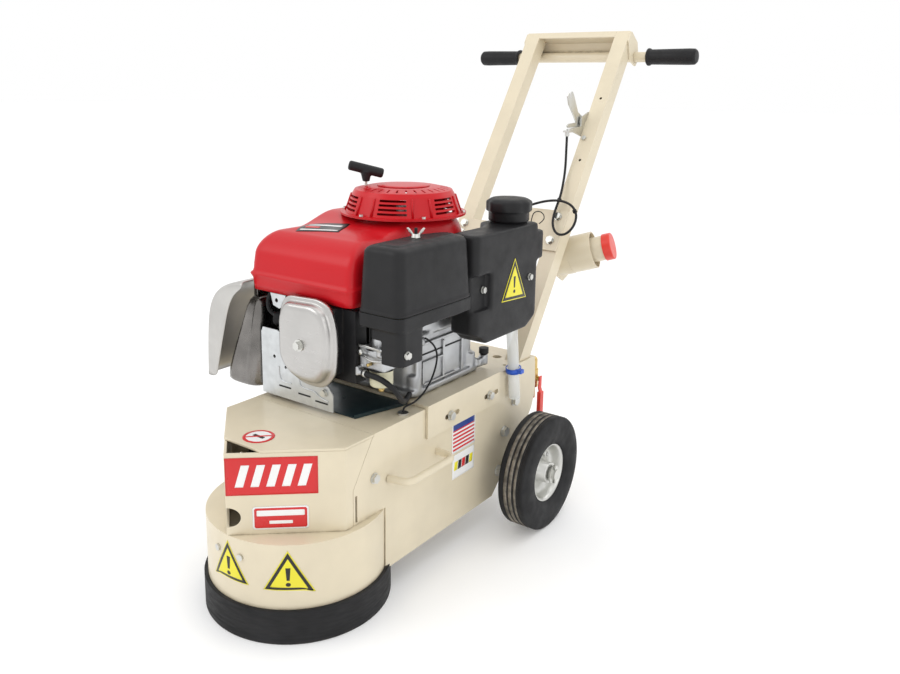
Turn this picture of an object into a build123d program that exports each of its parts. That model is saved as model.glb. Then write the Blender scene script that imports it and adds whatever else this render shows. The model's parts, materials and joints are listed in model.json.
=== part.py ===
from build123d import *
import os
from math import cos, pi, radians, sin, tan

# Walk-behind concrete grinder: one grinding disc under a steel drum, a petrol engine with an
# upright crankshaft, a belt drive inside the chassis, two wheels and a steering handle.
# Working frame: the spindle axis is x = 0, y = 0; +Y runs back to the handle, +X is the
# operator's left, the floor is z = 0. save() moves everything so that the origin is the
# middle of the footprint.

os.makedirs("parts", exist_ok=True)

# ---- driving dimensions, mm -------------------------------------------------------------
MID_Y = 391.3            # middle of the machine's length, measured from the spindle axis

DRUM_R = 142.0           # outside of the steel drum
DRUM_WALL = 4.0
DRUM_BOTTOM = 50.0
DRUM_TOP = 156.5
SKIRT_R = 148.4          # outside of the rubber skirt
SKIRT_TOP = 54.0

SIDE_X = 129.5           # outer face of the chassis side plates
PLATE = 4.0
DECK_Z = 288.0           # top of the deck
DECK_REAR = 520.0
NOSE_Y = -143.6          # tip of the belt guard's nose
BEND_Y = -28.0           # where the nose facets meet the flanks
LID_REAR = 35.0

ENGINE_Y = 267.3         # crankshaft axis
BELT_Z = 219.5           # middle of the belt
ENGINE_PULLEY_R = 38.0
SPINDLE_PULLEY_R = 80.0
SHAFT_R = 12.5

BASE_TOP = 293.2         # top of the engine's adjuster plate
COVER_TOP = 587.0        # top of the red fan cover
STARTER_R = 108.7        # starter housing flange

WHEEL_R = 105.4
WHEEL_X = 201.7          # middle of the tread
TREAD = 55.0
AXLE_Y = 423.3
AXLE_R = 10.0

TUBE = 32.0              # square handle tube
TUBE_X = 109.3           # centre of each upright
TILT = 33.57             # handle's lean back from upright
LEFT_HOLES = (92, 145)   # mid plate's bolts, along each upright
RIGHT_HOLES = (84, 106)
HANDLE_Y = 570.6         # point on the uprights' centre lines
HANDLE_Z = 415.0
BAR_Y = 913.0
BAR_Z = 868.0
BAR_R = 11.0
BAR_HALF = 262.0

PIPE_END = (160.0, 697.0, 477.0)     # middle of the outer dust pipe's open end
PIPE_R = 38.1
STUB_R = 25.4
PIPE_TURN = 75.0         # degrees the pipe points out to the side, measured from straight back
PIPE_RISE = 17.0         # degrees the pipe rises towards its open end
PIPE_FREE = 50.0         # plain length a hose can be clamped on

VALVE_X = 110.0          # water valve

CABLE_R = 2.5
WIRE_R = 1.6

UP = Vector(0, sin(radians(TILT)), cos(radians(TILT)))       # along the uprights
FRONT = Vector(0, -cos(radians(TILT)), sin(radians(TILT)))   # out of their front faces
BOTTOM = (Align.CENTER, Align.CENTER, Align.MIN)


# ---- helpers ----------------------------------------------------------------------------
def save(name, shape):
    """Write one sub-part, with the origin moved to the middle of the footprint."""
    moved = [Pos(0, -MID_Y, 0) * solid for solid in shape.solids()]
    export_step(Compound(moved), f"parts/{name}.step")


def block(x0, x1, y0, y1, z0, z1):
    """Box between two opposite corners."""
    centre = Pos((x0 + x1) / 2, (y0 + y1) / 2, (z0 + z1) / 2)
    return centre * Box(x1 - x0, y1 - y0, z1 - z0)


def disc(radius, z0, z1, x=0.0, y=0.0):
    """Upright cylinder."""
    return Pos(x, y, z0) * Cylinder(radius, z1 - z0, align=BOTTOM)


def rod(start, end, radius):
    """Round bar between two points."""
    a, b = Vector(*start), Vector(*end)
    return Plane(a, z_dir=(b - a).normalized()) * Cylinder(radius, (b - a).length, align=BOTTOM)


def pipe(start, end, outer, inner):
    """Tube between two points."""
    return rod(start, end, outer) - rod(start, end, inner)


def outline(points):
    """Closed outline that always faces along its plane's normal."""
    loop = list(zip(points, points[1:] + points[:1]))
    area = sum(a[0] * b[1] - b[0] * a[1] for a, b in loop)
    return Polygon(*(points if area > 0 else points[::-1]), align=None)


def side_sheet(points, x0, thickness):
    """Sheet parallel to the machine's side, outline given as (y, z)."""
    return extrude(Plane.YZ.offset(x0) * outline(points), thickness)


def flat_sheet(points, z0, thickness):
    """Level sheet, outline given as (x, y)."""
    return extrude(Pos(0, 0, z0) * outline(points), thickness)


def front_sheet(points, y0, thickness):
    """Sheet parallel to the machine's front, outline given as (x, z), thickness towards +Y."""
    return extrude(Plane.XZ.offset(-y0) * outline(points), -thickness)


def rounded(points, radius):
    """Outline with all corners rounded."""
    flat = outline(points)
    return fillet(flat.vertices(), radius)


def mirrored(shape):
    return mirror(shape, about=Plane.YZ)


def pair(shape):
    """The shape and its mirror image on the other side of the machine."""
    return Compound(children=[shape, mirrored(shape)])


def on_handle(x, along, off):
    """Point near the uprights: along their slope, and off their centre plane to the front."""
    return Vector(x, HANDLE_Y, HANDLE_Z) + UP * along + FRONT * off


def handle_plane(along=0.0, off=0.0):
    """Plane across the uprights; its x is +X and its y points to their back."""
    return Plane(on_handle(0, along, off), x_dir=(1, 0, 0), z_dir=UP)


def hexagon_head(start, direction, across, height):
    """Hexagonal head or nut standing on a face."""
    flat = Plane(Vector(*start), z_dir=direction)
    return extrude(flat * RegularPolygon(across / 2, 6, major_radius=False), height)


def bolt(face, direction, size, length, washer=1.5):
    """Bolt on an outer face: washer, hexagonal head, and a shank that goes the other way."""
    d = Vector(*direction).normalized()
    p = Vector(*face)
    solid = rod(p, p + d * washer, size * 1.05)
    solid += hexagon_head(p + d * washer, d, size * 1.65, size * 0.65)
    return solid + rod(p - d * length, p + d * washer, size / 2)


def soft_route(points):
    """Runs joined by the largest tangent arcs that the runs leave room for."""
    p = [Vector(*q) for q in points]
    radii = []
    for a, b, c in zip(p, p[1:], p[2:]):
        turn = (b - a).get_angle(c - b)
        radii.append(0.45 * min((b - a).length, (c - b).length) / tan(radians(turn / 2)))
    return FilletPolyline(*p, radius=radii), radii


def cord(points, radius, name):
    """Round cord along a soft route; prints its radii and its volume against its length."""
    route, radii = soft_route(points)
    solid = sweep(Plane(route @ 0, z_dir=route % 0) * Circle(radius), path=route)
    worth = solid.volume / (pi * radius ** 2 * route.length)
    print(name, "length", round(route.length, 1), "least radius", round(min(radii), 1),
          "turned volume", round(worth, 4))
    return solid


# ---- grinding head ----------------------------------------------------------------------
def drum():
    shell = disc(DRUM_R, DRUM_BOTTOM, DRUM_TOP)
    shell -= disc(DRUM_R - DRUM_WALL, DRUM_BOTTOM, DRUM_TOP - 5)
    shell -= disc(38.2, DRUM_TOP - 6, DRUM_TOP)
    for angle in (-9.7, 9.7):
        x, y = DRUM_R * sin(radians(angle)), -DRUM_R * cos(radians(angle))
        shell -= rod((0, 0, 128.5), (x * 1.1, y * 1.1, 128.5), 2.6)
    return shell


def skirt():
    return disc(SKIRT_R, 0, SKIRT_TOP) - disc(DRUM_R + 0.2, 0, SKIRT_TOP)


def drum_screws():
    screws = []
    for angle in (-9.7, 9.7):
        d = Vector(sin(radians(angle)), -cos(radians(angle)), 0)
        centre = Vector(0, 0, 128.5)
        head = rod(centre + d * (DRUM_R + 0.1), centre + d * (DRUM_R + 3), 5)
        screws.append(head + rod(centre + d * (DRUM_R - 12), centre + d * (DRUM_R + 0.2), 2.5))
    return Compound(children=screws)


def bearing_housing():
    """Flanged housing on the drum's top, with a ball bearing at each end of its bore."""
    body = disc(56, DRUM_TOP, DRUM_TOP + 8) + disc(38, 118, 200)
    body -= disc(26.05, 118, 146) + disc(20, 140, 180) + disc(26.05, 172, 200)
    for k in range(4):
        x, y = 47 * cos(pi / 4 + k * pi / 2), 47 * sin(pi / 4 + k * pi / 2)
        body -= disc(4.3, DRUM_TOP, DRUM_TOP + 8, x, y)
    rings = [disc(26, z, z + 15) - disc(SHAFT_R + 0.05, z, z + 15) for z in (130, 173)]
    return Compound(children=[body] + rings)


def housing_bolts():
    bolts = []
    for k in range(4):
        x, y = 47 * cos(pi / 4 + k * pi / 2), 47 * sin(pi / 4 + k * pi / 2)
        bolts.append(bolt((x, y, DRUM_TOP + 8), (0, 0, 1), 8, 8))
    return Compound(children=bolts)


def spindle_shaft():
    shaft = disc(SHAFT_R, 40, 240) + disc(18, 66, 118 - 0.5)
    return shaft + disc(18, 200.5, 206)


def pulley(radius, y):
    wheel = disc(radius, BELT_Z - 12.5, BELT_Z + 12.5, 0, y)
    groove = Plane.XZ * Polygon((radius - 13, BELT_Z - 6.4), (radius - 13, BELT_Z + 6.4),
                                (radius + 0.5, BELT_Z + 9.5), (radius + 0.5, BELT_Z - 9.5), align=None)
    wheel -= Pos(0, y, 0) * revolve(groove, Axis.Z)
    return wheel - disc(SHAFT_R + 0.02, BELT_Z - 13, BELT_Z + 13, 0, y)


def tool_disc():
    plate = disc(122, 32, 40) + disc(34, 40, 65.5)
    plate -= disc(SHAFT_R + 0.02, 32, 66)
    for k in range(6):
        x, y = 78 * cos(k * pi / 3 + pi / 6), 78 * sin(k * pi / 3 + pi / 6)
        plate -= disc(11, 32, 40, x, y)
    return plate


def diamond_shoes():
    """Three steel shoes, each with two upright diamond bars brazed on."""
    shoes = []
    for k in range(3):
        shoe = Pos(93, 0, 26) * Box(44, 58, 11.6)
        for side in (-14, 14):
            bar = Pos(93, side, 10.1) * Box(38, 10, 20.2)
            shoe += fillet(bar.edges().filter_by(Axis.Z), 4.5)
        shoes.append(Rot(0, 0, 120 * k) * shoe)
    return Compound(children=shoes)


def belt_loop(inset, half_height):
    """Closed band around both pulleys, inset below their rims."""
    a, b = SPINDLE_PULLEY_R - inset, ENGINE_PULLEY_R - inset
    hull = make_hull((Circle(a).edges() + (Pos(0, ENGINE_Y) * Circle(b)).edges()))
    return extrude(Pos(0, 0, BELT_Z - half_height) * hull, 2 * half_height)


def drive_belt():
    return belt_loop(1.0, 6.0) - belt_loop(10.0, 7.0)


# ---- chassis ----------------------------------------------------------------------------
def chassis_side():
    outline = [(33.4, 284), (-11.7, 214), (-11.7, DRUM_TOP), (63, DRUM_TOP), (63, 49), (375, 49),
               (500, 168.5), (512, 184), (521, 205), (524.6, 227), (DECK_REAR, 284)]
    plate = side_sheet(outline, SIDE_X - PLATE, PLATE)
    plate -= disc(DRUM_R + 0.3, 40, DRUM_TOP) + disc(SKIRT_R + 0.3, 40, SKIRT_TOP + 0.3)
    plate -= block(SIDE_X - 5, SIDE_X + 1, -7.5, -3, 160, 203)
    for y, z, r in ((35.4, 216.6, 4.1), (228, 258.5, 4.1), (349, 258.5, 4.1), (392.6, 94.6, 5.1)):
        plate -= rod((100, y, z), (140, y, z), r)
    for y, z in ((445, 219), (410, 167.7)):
        plate -= rod((100, y, z), (140, y, z), 5.1)
    return plate - rod((100, AXLE_Y, 105.4), (140, AXLE_Y, 105.4), 14)


def deck():
    """Deck plate with its folded rear wall."""
    plate = block(-SIDE_X, SIDE_X, LID_REAR + 0.3, DECK_REAR, DECK_Z - PLATE, DECK_Z)
    for side in (-1, 1):
        centre = side * TUBE_X
        plate -= block(centre - 16.2, centre + 16.2, 463.4, 507.5, 280, 290)
    plate -= disc(62, 280, 290, 0, ENGINE_Y)
    plate -= disc(9, 280, 290, 74, 469)
    plate -= disc(3.5, 280, 290, 112, 435)
    plate -= disc(6.1, 280, 290, 113.7, 125.3)
    plate += block(-SIDE_X + PLATE + 0.2, SIDE_X - PLATE - 0.2, 511.5, 515.5, 196, 284)
    return plate - rod((VALVE_X, 500, 268), (VALVE_X, 530, 268), 9.1)


def nose_guard():
    """Bent wall of the belt guard: two flanks and two facets that meet at the nose."""
    outer = [(-SIDE_X, 40), (-SIDE_X, BEND_Y), (0, NOSE_Y), (SIDE_X, BEND_Y), (SIDE_X, 40)]
    x = SIDE_X - PLATE
    slope = (BEND_Y - NOSE_Y) / SIDE_X
    inner = [(-x, 50), (-x, BEND_Y + 1.9), (0, BEND_Y + 1.9 - x * slope), (x, BEND_Y + 1.9), (x, 50)]
    shell = flat_sheet(outer, DRUM_TOP, 284 - DRUM_TOP) - flat_sheet(inner, DRUM_TOP, 284 - DRUM_TOP)
    behind = [(-12, 150), (-12, 213.8), (33, 284.1), (60, 284.1), (60, 150)]
    shell -= side_sheet(behind, -140, 280)
    return shell - rod((0, NOSE_Y - 20, 184), (0, NOSE_Y + 30, 184), 15.5)


def lid():
    outline = [(-39, -109.6), (39, -109.6), (SIDE_X, BEND_Y), (SIDE_X, LID_REAR),
               (-SIDE_X, LID_REAR), (-SIDE_X, BEND_Y)]
    return flat_sheet(outline, DECK_Z - PLATE, PLATE)


def guard_bolts():
    return pair(bolt((SIDE_X, 35.4, 216.6), (1, 0, 0), 8, 9))


def lift_handle():
    route = FilletPolyline((SIDE_X, 69, 203), (166, 78, 203), (166, 196, 203), (SIDE_X, 197.5, 203),
                           radius=16)
    return sweep(Plane(route @ 0, z_dir=route % 0) * Circle(6), path=route) - block(
        0, SIDE_X, 0, 300, 150, 250)


def axle_bracket():
    outline = [(384, 62), (384, 137), (462, 137), (462, 92), (450, 80), (404, 80)]
    plate = side_sheet(outline, SIDE_X - PLATE - 8.2, 8)
    plate -= rod((100, AXLE_Y, 105.4), (140, AXLE_Y, 105.4), AXLE_R + 0.05)
    return plate - rod((100, 392.6, 94.6), (140, 392.6, 94.6), 5.1)


def adjuster_plate():
    x = SIDE_X + 5.2
    plate = block(-x, x, 165, 384, DECK_Z + 0.2, BASE_TOP)
    plate += block(-x, -SIDE_X - 0.3, 165, 384, 236, BASE_TOP)
    plate += block(SIDE_X + 0.3, x, 165, 384, 236, BASE_TOP)
    plate -= disc(62, 280, 300, 0, ENGINE_Y)
    for y0, y1 in ((213, 255), (333, 379)):
        slot = extrude(Plane.YZ.offset(-150) * Pos((y0 + y1) / 2, 258.5) * SlotOverall(y1 - y0, 9), 300)
        plate -= slot
    return plate


def adjuster_bolts():
    bolts = []
    for y in (228, 349):
        one = bolt((SIDE_X + 5.3, y, 258.5), (1, 0, 0), 8, 14)
        bolts += [one, mirrored(one)]
    return Compound(children=bolts)


# ---- running gear -----------------------------------------------------------------------
def axle():
    """Axle bar with its carrying brackets, spacer tubes, end washers and cross pins."""
    bar = rod((-239, AXLE_Y, WHEEL_R), (239, AXLE_Y, WHEEL_R), AXLE_R)
    for side in (-1, 1):
        bar -= rod((side * 235.5, AXLE_Y, 90), (side * 235.5, AXLE_Y, 120), 2.1)
    end = Vector(SIDE_X + 0.3, AXLE_Y, WHEEL_R)
    spacer = pipe(end, (171.5, AXLE_Y, WHEEL_R), 15, AXLE_R + 0.1)
    washer = pipe((230.6, AXLE_Y, WHEEL_R), (233.2, AXLE_Y, WHEEL_R), 17, AXLE_R + 0.1)
    pin = rod((235.5, AXLE_Y, 88), (235.5, AXLE_Y, 123), 2)
    fittings = [spacer, washer, pin, axle_bracket()]
    return Compound(children=[bar] + fittings + [mirrored(piece) for piece in fittings])


def spun_about_wheel(points):
    """Ring about the wheel's axis, section given as (radius, x)."""
    section = Plane.XY * Polygon(*[(x, r) for r, x in points], align=None)
    ring = revolve(section, Axis.X)
    return Pos(0, AXLE_Y, WHEEL_R) * ring


def tyre():
    a, b = WHEEL_X - TREAD / 2, WHEEL_X + TREAD / 2
    section = [(51.6, a + 10), (60, a + 3), (80, a), (97, a + 2), (102.5, a + 6)]
    for x in (WHEEL_X - 12, WHEEL_X, WHEEL_X + 12):
        section += [(WHEEL_R, x - 5.5), (WHEEL_R, x + 4), (WHEEL_R - 3, x + 4.5), (WHEEL_R - 3, x + 6)]
    section = section[:-2]
    section += [(102.5, b - 6), (97, b - 2), (80, b), (60, b - 3), (51.6, b - 10)]
    return spun_about_wheel(section)


def rim():
    """Zinc-plated rim, web and hub barrel, bored to run on the axle."""
    x = WHEEL_X
    ring = spun_about_wheel([(46, x - 17), (51.5, x - 17.4), (51.5, x + 17.4), (46, x + 17),
                             (43, x + 10), (44, x + 2), (44, x - 2), (43, x - 10)])
    web = spun_about_wheel([(18, x - 3), (44.5, x - 2), (44.5, x + 2), (18, x + 3)])
    bore = AXLE_R + 0.05
    hub = spun_about_wheel([(bore, x - 29), (19, x - 29), (19, x + 28), (bore, x + 28)])
    return ring + web + hub


# ---- handle -----------------------------------------------------------------------------
def upright(plate_holes, spare_holes):
    """Square tube with its bolt holes, given as distances along it from the handle's base point."""
    long = 598 + 318
    tube = Box(TUBE, TUBE, long, align=BOTTOM) - Box(TUBE - 5, TUBE - 5, long - 3, align=BOTTOM)
    tube = handle_plane(-318) * (Pos(TUBE_X, 0, 0) * tube)
    for y, z in ((445, 219), (410, 167.7)):
        tube -= rod((80, y, z), (140, y, z), 5.1)
    for along in plate_holes:
        tube -= rod(on_handle(106, along, 0), on_handle(106, along, 30), 4.1)
    for along in spare_holes:
        tube -= rod(on_handle(TUBE_X, along, 0), on_handle(TUBE_X, along, 30), 3.0)
    return tube


def uprights():
    left = upright(LEFT_HOLES, (279, 428)) - rod((80, 767.2, 702), (TUBE_X, 767.2, 702), 3.1)
    return Compound(children=[left, mirrored(upright(RIGHT_HOLES, ()))])


def handle_bolts():
    bolts = []
    for y, z in ((445, 219), (410, 167.7)):
        one = bolt((SIDE_X, y, z), (1, 0, 0), 10, 47)
        one += hexagon_head((93.1, y, z), (-1, 0, 0), 16, 8)
        bolts += [one, mirrored(one)]
    return Compound(children=bolts)


def axle_bolts():
    return pair(bolt((SIDE_X, 392.6, 94.6), (1, 0, 0), 10, 14))


def cross_channel():
    """Folded channel over the tops of the uprights, with an ear at each end for the bar."""
    plane = handle_plane(0)
    fold = [(-16.2, 584), (-16.2, 598), (22, 598), (50, 576), (50, 570), (47, 570), (47, 574.5), (21, 595),
            (-13.2, 595), (-13.2, 584)]
    shape = extrude(Plane.YZ.offset(-125.5) * outline(fold), 251)
    for side in (-1, 1):
        centre = side * TUBE_X
        shape -= block(centre - 16.2, centre + 16.2, -17, 16.2, 570, 600)
    ear_outline = [(-16, 598), (24, 598), (50, 576), (50, 553), (16, 545), (-16, 574)]
    ear = extrude(Plane.YZ.offset(125.4) * rounded(ear_outline, 4), 3.4)
    shape = plane * (shape + ear + mirrored(ear))
    return shape - rod((-140, BAR_Y, BAR_Z), (140, BAR_Y, BAR_Z), BAR_R + 0.05)


def handlebar():
    return pipe((-BAR_HALF, BAR_Y, BAR_Z), (BAR_HALF, BAR_Y, BAR_Z), BAR_R, BAR_R - 2.5)


def grip():
    """Moulded rubber grip with a collar at its inner end and a closed, thicker outer end."""
    section = [(159, 0), (159, 18.5), (163, 18.5), (166, 16), (250, 17), (262, 16.5), (266, 13), (267, 0)]
    solid = revolve(Plane.XY * Polygon(*section, align=None), Axis.X)
    solid = Pos(0, BAR_Y, BAR_Z) * solid
    return solid - rod((150, BAR_Y, BAR_Z), (BAR_HALF + 0.1, BAR_Y, BAR_Z), BAR_R + 0.02)


def mid_plate():
    """Plate across the uprights' front faces, taller at the left one."""
    edge = [(-125, 71), (125, 71), (125, 159), (35, 159), (-45, 118), (-125, 118)]
    plate = handle_plane(0) * front_sheet(edge, -20.2, 4.1)
    for x, holes in ((106, LEFT_HOLES), (-106, RIGHT_HOLES)):
        for along in holes:
            plate -= rod(on_handle(x, along, 10), on_handle(x, along, 30), 4.1)
    return plate


def mid_plate_bolts():
    bolts = []
    for x, holes in ((106, LEFT_HOLES), (-106, RIGHT_HOLES)):
        for along in holes:
            bolts.append(bolt(on_handle(x, along, 20.3), FRONT, 8, 16))
    return Compound(children=bolts)


# ---- dust outlet ------------------------------------------------------------------------
def pipe_axis(distance):
    """Point on the dust pipe's axis, at a distance beyond the outer pipe's open end."""
    turn, rise = radians(PIPE_TURN), radians(PIPE_RISE)
    return Vector(PIPE_END) + Vector(sin(turn) * cos(rise), cos(turn) * cos(rise), sin(rise)) * distance


def pipe_bracket():
    """Side plate welded on edge behind one upright, with a hole for the dust stream."""
    edge = [(16.2, 50), (100, 54), (113, 72), (113, 126), (104, 137), (16.2, 137)]
    plate = handle_plane(0) * extrude(Plane.YZ.offset(93.3) * outline(edge), 4)
    return plate - rod(pipe_axis(-100), pipe_axis(0), STUB_R - 2)


def dust_pipe():
    """Outer pipe welded by a thin root collar to its bracket behind the upright."""
    tube = pipe(pipe_axis(-100), pipe_axis(0), PIPE_R, PIPE_R - 2.5)
    tube += pipe(pipe_axis(-100), pipe_axis(-PIPE_FREE), PIPE_R + 0.8, PIPE_R - 2.5)
    return tube - block(0, 97.2, 550, 800, 350, 600) + pipe_bracket()


def dust_stub():
    """Inner outlet tube on a closing ring inside the outer pipe."""
    tube = pipe(pipe_axis(-54), pipe_axis(36), STUB_R, STUB_R - 2)
    ring = pipe(pipe_axis(-50), pipe_axis(-46), PIPE_R - 2.6, STUB_R - 2)
    return tube + ring


def dust_cap():
    outer = rod(pipe_axis(21), pipe_axis(38.5), 27.6)
    outer = fillet(outer.edges().group_by(Axis.X)[-1], 2)
    return outer - rod(pipe_axis(10), pipe_axis(36.1), STUB_R + 0.05)


# ---- throttle ---------------------------------------------------------------------------
def throttle_mount():
    """Steel plate on the inner face of one upright, with the lever's pivot post."""
    outline = [(752, 690), (782, 690), (795, 740), (776, 752), (744, 742), (742, 716)]
    plate = side_sheet(outline, 90.1, 3)
    plate += side_sheet([(692, 716), (692, 720), (752, 724), (752, 700)], 90.1, 3)
    plate += block(79, 93.1, 690, 703, 712, 716)
    plate -= rod((85, 697, 700), (85, 697, 730), 2.0)
    post = rod((79.5, 757, 732), (91, 757, 732), 3.9)
    return plate + post - rod((80, 767.2, 702), (TUBE_X, 767.2, 702), 3.1)


def throttle_bolt():
    return bolt((90, 767.2, 702), (-1, 0, 0), 6, 10)


def throttle_screw():
    return hexagon_head(on_handle(103, 330, 16.3), FRONT, 9, 4)


def throttle_lever():
    """Lever with a split thumb end and a short arm that pulls the cable."""
    outline = [(763, 724), (768, 735), (760, 742), (738, 752), (716, 788), (710, 794), (705, 791),
               (706, 782), (701, 781), (698, 790), (692, 791), (690, 785), (697, 768), (722, 742),
               (732, 731), (697, 729), (693, 725), (697, 721), (745, 722), (753, 720)]
    lever = side_sheet(outline, 84, 3)
    hub = rod((82, 757, 732), (88, 757, 732), 10)
    return lever + hub - rod((80, 757, 732), (90, 757, 732), 3.98)


def throttle_nut():
    return hexagon_head((79.4, 757, 732), (-1, 0, 0), 12, 5)


def cable_points():
    down = [(85, 697, 709.5), (85.3, 696, 682), (88, 691, 645)]
    sloped = [on_handle(95, 226, 27), on_handle(102, 186, 30), on_handle(101, 152, 31.5),
              on_handle(105, 122, 32), on_handle(122, 101, 33), on_handle(143, 102, 34.5),
              on_handle(156, 121, 36), on_handle(155, 146, 37.5), on_handle(140, 164, 38.5),
              on_handle(117, 172, 39.5), on_handle(91, 172, 38), on_handle(58, 166, 33)]
    back = [(27, 603, 557), (7, 560, 540), (-5, 511, 515), (-10, 462, 487), (-10.5, 421.3, 467)]
    return down + sloped + back


def throttle_cable():
    return cord(cable_points(), CABLE_R, "throttle_cable")


def cable_ferrule():
    """Threaded adjuster sleeve where the cable leaves the throttle, with the bared wire's end."""
    sleeve = rod((85, 697, 704), (85, 697, 711.9), 4.5)
    sleeve -= rod((85, 697, 700), (85, 697, 709.6), CABLE_R + 0.5)
    return sleeve + rod((85, 697, 709.5), (85, 697, 719), 1.9)


# ---- engine -----------------------------------------------------------------------------
def crankcase():
    """Crankcase with mounting feet, oil filler neck and a cable post at its back."""
    lower = extrude(Pos(0, 0, BASE_TOP) * rounded([(-96, 172), (97, 172), (97, 372), (-96, 372)], 14), 12)
    body = extrude(Pos(0, 0, BASE_TOP) * rounded([(-88, 178), (90, 178), (90, 366), (-88, 366)], 22), 105)
    solid = lower + body + disc(98, 396, 466, 0, ENGINE_Y)
    for y in (192, 352):
        solid += disc(13, BASE_TOP, 330, 84, y)
    solid += disc(8, 300, 321.3, 97, 385) + block(91, 103, 364, 386, 300, 316)
    solid -= disc(5.1, 311, 330, 97, 385)
    solid += block(90, 101.5, 188, 201, 382, 396) + block(80, 95, 186, 201, 330, 396)
    solid += block(-16, -5, 360, 419, 446, 456) + block(-16, -5, 412, 420, 446, 472)
    return solid - disc(SHAFT_R + 0.05, 280, 480, 0, ENGINE_Y)


def crankshaft():
    """Crankshaft with the engine's belt pulley on its lower end."""
    shaft = disc(SHAFT_R, BELT_Z - 20, 600, 0, ENGINE_Y) + disc(15, 466.4, 478, 0, ENGINE_Y)
    return Compound(children=[shaft, pulley(ENGINE_PULLEY_R, ENGINE_Y)])


def cylinder_fins():
    """Finned cylinder with its head and the rocker box on the head's front."""
    block_core = block(-50, 50, 62, 169, 354, 462) - rod((0, 100, 411), (0, 175, 411), 44)
    head = block(-64, 72, 60.2, 84, 348, 464) + block(-48, 46, 42.1, 61, 361, 466)
    solid = block_core + head
    for k in range(8):
        y = 92 + 9.6 * k
        solid += block(-62, 64, y, y + 3, 348, 465)
    return solid - rod((-10.7, 40, 404), (-10.7, 62, 404), 3.1)


def valve_cover():
    """Domed cover on the rocker box, with a flange round its back edge."""
    edge = [(-54, 476), (18, 479), (42, 470), (54, 440), (55, 395), (49, 357), (25, 336), (-18, 336),
            (-50, 350), (-68, 373), (-68, 450)]
    base = front_sheet(edge, 34, 8)
    inner = rounded([(x * 0.94 - 0.4, 407 + (z - 407) * 0.94) for x, z in edge], 9)
    dome = extrude(Plane.XZ.offset(-34.5) * inner, 13.5, taper=10)
    dome = fillet(dome.faces().sort_by(Axis.Y)[0].edges(), 4)
    return base + dome - rod((-10.7, 10, 404), (-10.7, 70, 404), 3.1)


def valve_cover_bolt():
    washer = pipe((-10.7, 20.9, 404), (-10.7, 19, 404), 9.5, 3)
    return washer + hexagon_head((-10.7, 19, 404), (0, -1, 0), 12, 6) + rod((-10.7, 19, 404), (-10.7, 60, 404), 3)


def coil_tab():
    """Small drilled lug that hangs below the fan cover."""
    outline = [(-104, 469), (-69, 469), (-69, 455), (-84, 445), (-98, 449)]
    return front_sheet(outline, 50, 2) - rod((-90, 40, 458), (-90, 60, 458), 3.5)


def front_bracket():
    """Galvanised sheet ahead of the crankcase, and the coil's lug above it."""
    outline = [(-122, 296.5), (38, 296.5), (38, 326), (28, 338), (-8, 341), (-48, 354), (-60, 378),
               (-60, 398), (-84, 410), (-118, 410), (-122, 402)]
    plate = front_sheet(outline, 44, 2)
    plate += block(-122, -120, 44, 60, 296.5, 380)
    for x, z, r in ((-92, 364, 3), (-66.5, 350, 2.5), (20.3, 326, 3.1)):
        plate -= rod((x, 30, z), (x, 60, z), r)
    return Compound(children=[plate, coil_tab()])


def bracket_bolt():
    return bolt((20.3, 43.9, 326), (0, -1, 0), 6, 12)


def base_sheet():
    """Dark folded drip sheet between the deck and the front of the engine."""
    outline = [(-112, 62.2), (68, 62.2), (93, 153), (93, 164), (-112, 164)]
    plate = flat_sheet(outline, DECK_Z + 0.3, 2)
    rise = [(68, 62.2), (93, 153), (93, 164), (91.3, 164), (91.3, 153.4), (66.4, 62.2)]
    return plate + flat_sheet(rise, DECK_Z + 2.3, 4)


COVER_LOW = [(-151, 46), (76, 47), (76, 200), (30, 270), (30, 385), (0, 400), (-62, 394), (-122, 352),
             (-144, 300)]
COVER_CROWN = [(-144, 51), (71, 51), (72, 196), (26, 270), (26, 379), (0, 394), (-60, 388), (-118, 348),
               (-139, 298)]


def cover_solid(inset):
    """Fan cover's outer shape, or the space inside its wall when inset by the wall's thickness."""
    low = extrude(Pos(0, 0, 470) * offset(rounded(COVER_LOW, 13), -inset), 28 - inset)
    low += disc(108.5 - inset, 470, 498 - inset, 0, ENGINE_Y)
    crown = extrude(Pos(0, 0, 480) * offset(rounded(COVER_CROWN, 13), -inset), COVER_TOP - 480 - inset)
    crown += disc(105.5 - inset, 480, COVER_TOP - inset, 0, ENGINE_Y)
    slope = [(56, 498), (78, 556), (150, 579), (190, COVER_TOP + 0.1)]
    sunk = [(y + inset, z - inset) for y, z in slope]
    crown -= side_sheet([(30, 498 - inset)] + sunk + [(30, 620)], -200, 400)
    return low + crown


def fan_cover():
    """Pressed red cover over the cylinder and the fan, open below."""
    shell = cover_solid(0) - cover_solid(2.5) - disc(92, 580, 590, 0, ENGINE_Y)
    mouth = extrude(Pos(0, 0, 469) * offset(rounded(COVER_LOW, 13), -2.5), 4)
    return shell - block(-66, 67, 61, 200, 460, 471) - mouth


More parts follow.
